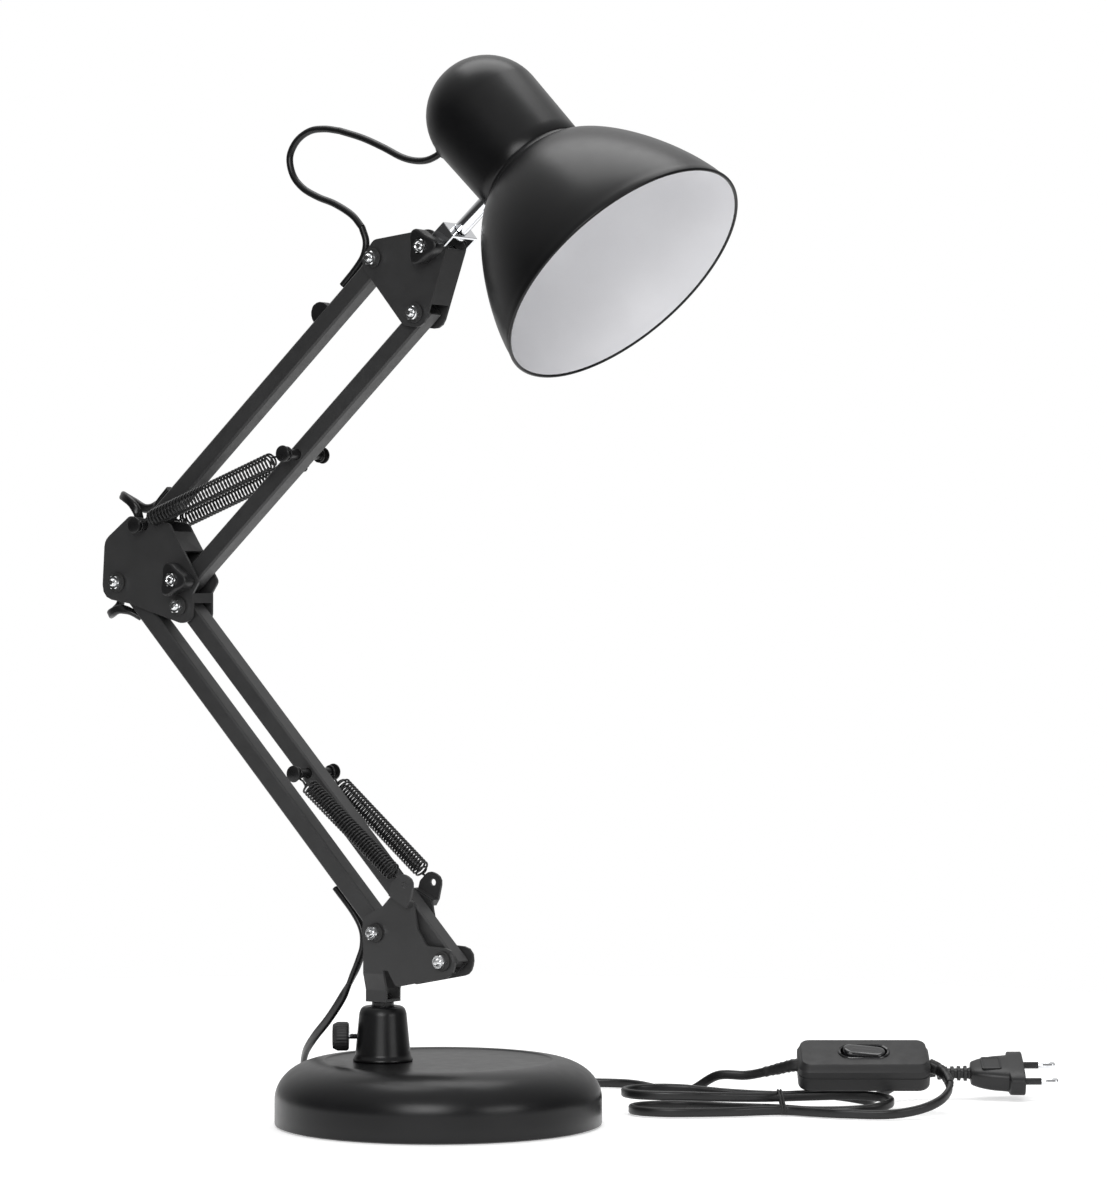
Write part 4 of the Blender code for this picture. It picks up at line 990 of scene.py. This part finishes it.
def make_pivots():
    """The six pivot bolts with their washers and nuts, and the two bolts that carry the knobs."""
    pivots = (
        ("foot_pivot_back", FOOT_BACK, "foot"), ("foot_pivot_front", FOOT_FRONT, "foot"),
        ("elbow_pivot_back", ELBOW_BACK, "elbow"), ("elbow_pivot_front", ELBOW_FRONT, "elbow"),
        ("head_pivot_back", HEAD_BACK, "head"), ("head_pivot_front", HEAD_FRONT, "head"),
    )
    for stem, p, body in pivots:
        make_bolt(stem + "_screw", p, PLATE_Y + 0.3, -PLATE_Y - 4.2, -PLATE_Y - 6.6, body, (stem + "_bolt",))
        nut = hex_nut(p, -PLATE_Y - WASHER_THICK, -PLATE_Y - 4.7)
        finished(stem + "_hexnut", nut, NUT_CHROME, body, (stem + "_nut",), sharp=25)
        make_washer(stem + "_washer", p, body)
    for stem, p, body, head_y, tip_y in (
        ("elbow_lock", UPPER_FRONT, "elbow", PLATE_Y + 0.3, -PLATE_Y - 12.0),
        ("head_lock", NECK, "head", PLATE_Y + 2.2, -PLATE_Y - 14.0),
    ):
        make_bolt(stem + "_screw", p, head_y, tip_y + 3.0, tip_y, body, (stem + "_bolt",))


def make_tri_knob(name, p, y_plate, y_face, turn, body, replaced):
    """A three-cornered knob with soft edges, a sunk face and a nut held in it."""
    count = 96
    mean, lobe_height, lobe_point, bore = 8.2, 1.8, 0.4, 2.3

    def ring(grow, y):
        points = []
        for i in range(count):
            t = 2 * math.pi * i / count
            lobe = math.cos(3 * (t - math.radians(turn)))
            radius = mean + lobe_height * lobe + lobe_point * lobe**2 + grow
            points.append(Vector((p.x + radius * math.cos(t), y, p.z + radius * math.sin(t))))
        return points

    def disc(radius, y):
        return circle(Vector((p.x, y, p.z)), X, Z, radius, count)

    rings = [disc(bore, y_plate), ring(-2.4, y_plate), ring(-1.2, y_plate - 1.0), ring(-0.1, y_plate - 2.6)]
    rings += [ring(0.0, y_face + 1.3), ring(-0.25, y_face + 0.5), ring(-0.9, y_face + 0.08)]
    rings.append(ring(-1.6, y_face))
    rings += [disc(4.4, y_face), disc(4.2, y_face + 0.5), disc(bore, y_face + 0.5)]
    finished(name, skin(bmesh.new(), rings, True), DARK_PLASTIC, body, replaced, sharp=35)
    nut = hex_nut(p, y_face + 0.6, y_face - 1.4)
    finished(name + "_nut", nut, NUT_CHROME, body, (), sharp=25)


def make_pegs():
    """The pins through the arms and the elbow that the springs hook on, with a flanged head at each end."""
    half = 18.5
    for name, p, body, node in (
        ("lower_peg", LOWER_PEG, "lower_arm_fore", "lower_spring_peg"),
        ("upper_peg", UPPER_PEG, "upper_arm_fore", "upper_spring_peg"),
        ("elbow_peg", UPPER_BACK, "elbow", "elbow_spring_peg"),
    ):
        side = [(0, -half), (3.8, -half), (4.5, -half + 0.4), (4.6, -half + 0.8), (4.5, -half + 1.3)]
        side.append((2.6, -half + 1.5))
        profile = side + [(r, -along) for r, along in reversed(side)]
        bm = turned(profile, Vector((p.x, 0, p.z)), Y, 40)
        finished(name, bm, DARK_STEEL, body, (node,), sharp=35)


# ---- springs -------------------------------------------------------


def spring_path(low, high, radius, pitch, low_eye, high_eye):
    """Centreline of a close spring between two pegs, with a ring round each peg."""
    axis = (high - low).normalized()
    flat = (Y - Y.dot(axis) * axis).normalized()
    square = axis.cross(flat)
    length = (high - low).length
    neck, join, join_side = 5.5, 2.2, 0.6
    start, stop = low_eye + neck, length - high_eye - neck
    turns = round((stop - start) / pitch)
    per_turn = 16

    def eye(peg, eye_radius, towards):
        """Three quarters of a ring in the arm plane that ends on the side facing the coil."""
        ring = []
        for k in range(13):
            t = math.radians(-70 + 270 * k / 12)
            ring.append(peg - eye_radius * (math.cos(t) * towards + math.sin(t) * square))
        return ring

    path = eye(low, low_eye, axis)
    path.append(low + axis * (low_eye + join) + square * join_side)
    total = turns * per_turn
    for i in range(total + 1):
        s = i / total
        angle = 2 * math.pi * i / per_turn
        swell = smooth(min(i, total - i) / (per_turn * 1.2))
        r = radius * (0.35 + 0.65 * swell)
        centre = low + axis * (start + (stop - start) * s)
        path.append(centre + r * (math.cos(angle) * square + math.sin(angle) * flat))
    path.append(high - axis * (high_eye + join) + square * join_side)
    path += list(reversed(eye(high, high_eye, -axis)))
    return path


def make_springs():
    """The lower springs swing on their hooks; the upper ones also stretch between their two ends."""
    wire_r, radius = 0.6, 4.4
    eye_end = 6.5
    for side, sign in (("front", -1), ("rear", 1)):
        low = LOWER_HOOK + Y * (sign * 12.8)
        high = LOWER_PEG + Y * (sign * 14.3)
        path = spring_path(low, high, radius, 2.0, 3.2, 3.3)
        turns = wire(path, wire_r, bmesh.new())
        nodes = (f"lower_spring_{side}",)
        finished(f"lower_coil_{side}", turns, DARK_STEEL, "lower_springs", nodes, sharp=60)
        low = UPPER_BACK + Y * (sign * 14.3)
        high = UPPER_PEG + Y * (sign * 14.3)
        path = spring_path(low, high, radius, 2.35, 3.5, 3.6)
        turns = wire(path, wire_r, bmesh.new())
        nodes = (f"upper_spring_{side}", f"upper_spring_eye_{side}")
        coil = finished(f"upper_coil_{side}", turns, DARK_STEEL, None, nodes, sharp=60)
        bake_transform(coil, "upper_springs", "upper_spring_ends", start=low * MM, end=high * MM)
        axis = (high - low).normalized()
        full = (high - low).length
        weights = coil.data.attributes["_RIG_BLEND"].data
        for vertex in coil.data.vertices:
            along = (vertex.co / MM - low).dot(axis)
            share = (along - eye_end) / (full - 2 * eye_end)
            weights[vertex.index].value = min(max(share, 0.0), 1.0)


# ---- neck ----------------------------------------------------------


def make_rod():
    """The chrome rod from the fork's web to the reflector, and the nut that holds it inside."""
    web = 13.0
    profile = softened([
        (0, web - 2.2), (4.6, web - 2.2), (5.0, web - 1.7), (5.0, web - 0.3), (3.0, web - 0.3),
        (3.0, web + 1.8), (4.0, web + 1.8), (4.0, 40.2), (3.2, 41.0), (3.0, 41.2), (3.0, 46.0), (0, 46.0),
    ], 0.3)
    bm = turned(profile, NECK, ROD_DIRECTION, 64)
    finished("neck_shaft", bm, CHROME, "neck", ("neck_rod",), sharp=35)
    u, v = frame_of(ROD_DIRECTION)
    corner = 6.6
    rings = []
    for along, limit in ((41.3, 6.2), (41.7, corner), (44.0, corner), (44.5, 6.1)):
        ring = []
        for i in range(24):
            t = 2 * math.pi * i / 24
            flat = math.cos(math.radians(30)) / math.cos((t % (math.pi / 3)) - math.pi / 6)
            r = min(corner * flat, limit)
            ring.append(NECK + ROD_DIRECTION * along + r * (math.cos(t) * u + math.sin(t) * v))
        rings.append(ring)
    for along in (44.5, 41.3):
        rings.append(circle(NECK + ROD_DIRECTION * along, u, v, 3.05, 24))
    nut = skin(bmesh.new(), rings, True)
    finished("swivel_hexnut", nut, CHROME, "shade_body", ("swivel_nut",), sharp=25)


# ---- CAD pieces that keep their shape ------------------------------

KEPT = {
    "foot_bracket": POWDER, "elbow_bracket": POWDER, "head_bracket": POWDER,
    "lower_arm_back": POWDER, "lower_arm_front": POWDER, "upper_arm_back": POWDER, "upper_arm_front": POWDER,
    "cord_clip": DARK_PLASTIC, "spigot_pin": DARK_STEEL, "neck_fork": CHROME, "socket_nut": CHROME,
    "base_weight": IRON, "base_pad": RUBBER,
}
LEFT_SHARP = ("base_weight", "base_pad", "socket_nut")


def dress_kept():
    """New finishes, and small rounded edges where the folded steel and tubes would show them."""
    for name, look in KEPT.items():
        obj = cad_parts[name]
        for slot in obj.material_slots:
            slot.material = look
        if name in LEFT_SHARP:
            continue
        weld = obj.modifiers.new("weld", "WELD")
        weld.merge_threshold = 0.00001
        bevel = obj.modifiers.new("bevel", "BEVEL")
        bevel.width = 0.0003
        bevel.segments = 2
        bevel.limit_method = "ANGLE"
        bevel.angle_limit = math.radians(35)
        bevel.harden_normals = True


make_shade()
make_lampholder()
make_grommet()
make_base()
make_socket()
make_thumbscrew()
make_pivots()
make_tri_knob(
    "elbow_tri_knob", UPPER_FRONT, -PLATE_Y - 0.3, -PLATE_Y - 10.3, 114, "elbow_lock", ("elbow_knob",),
)
make_tri_knob("head_tri_knob", NECK, -PLATE_Y - 2.2, -PLATE_Y - 12.3, 0, "head_lock", ("head_knob",))
make_pegs()
make_springs()
make_rod()
dress_kept()
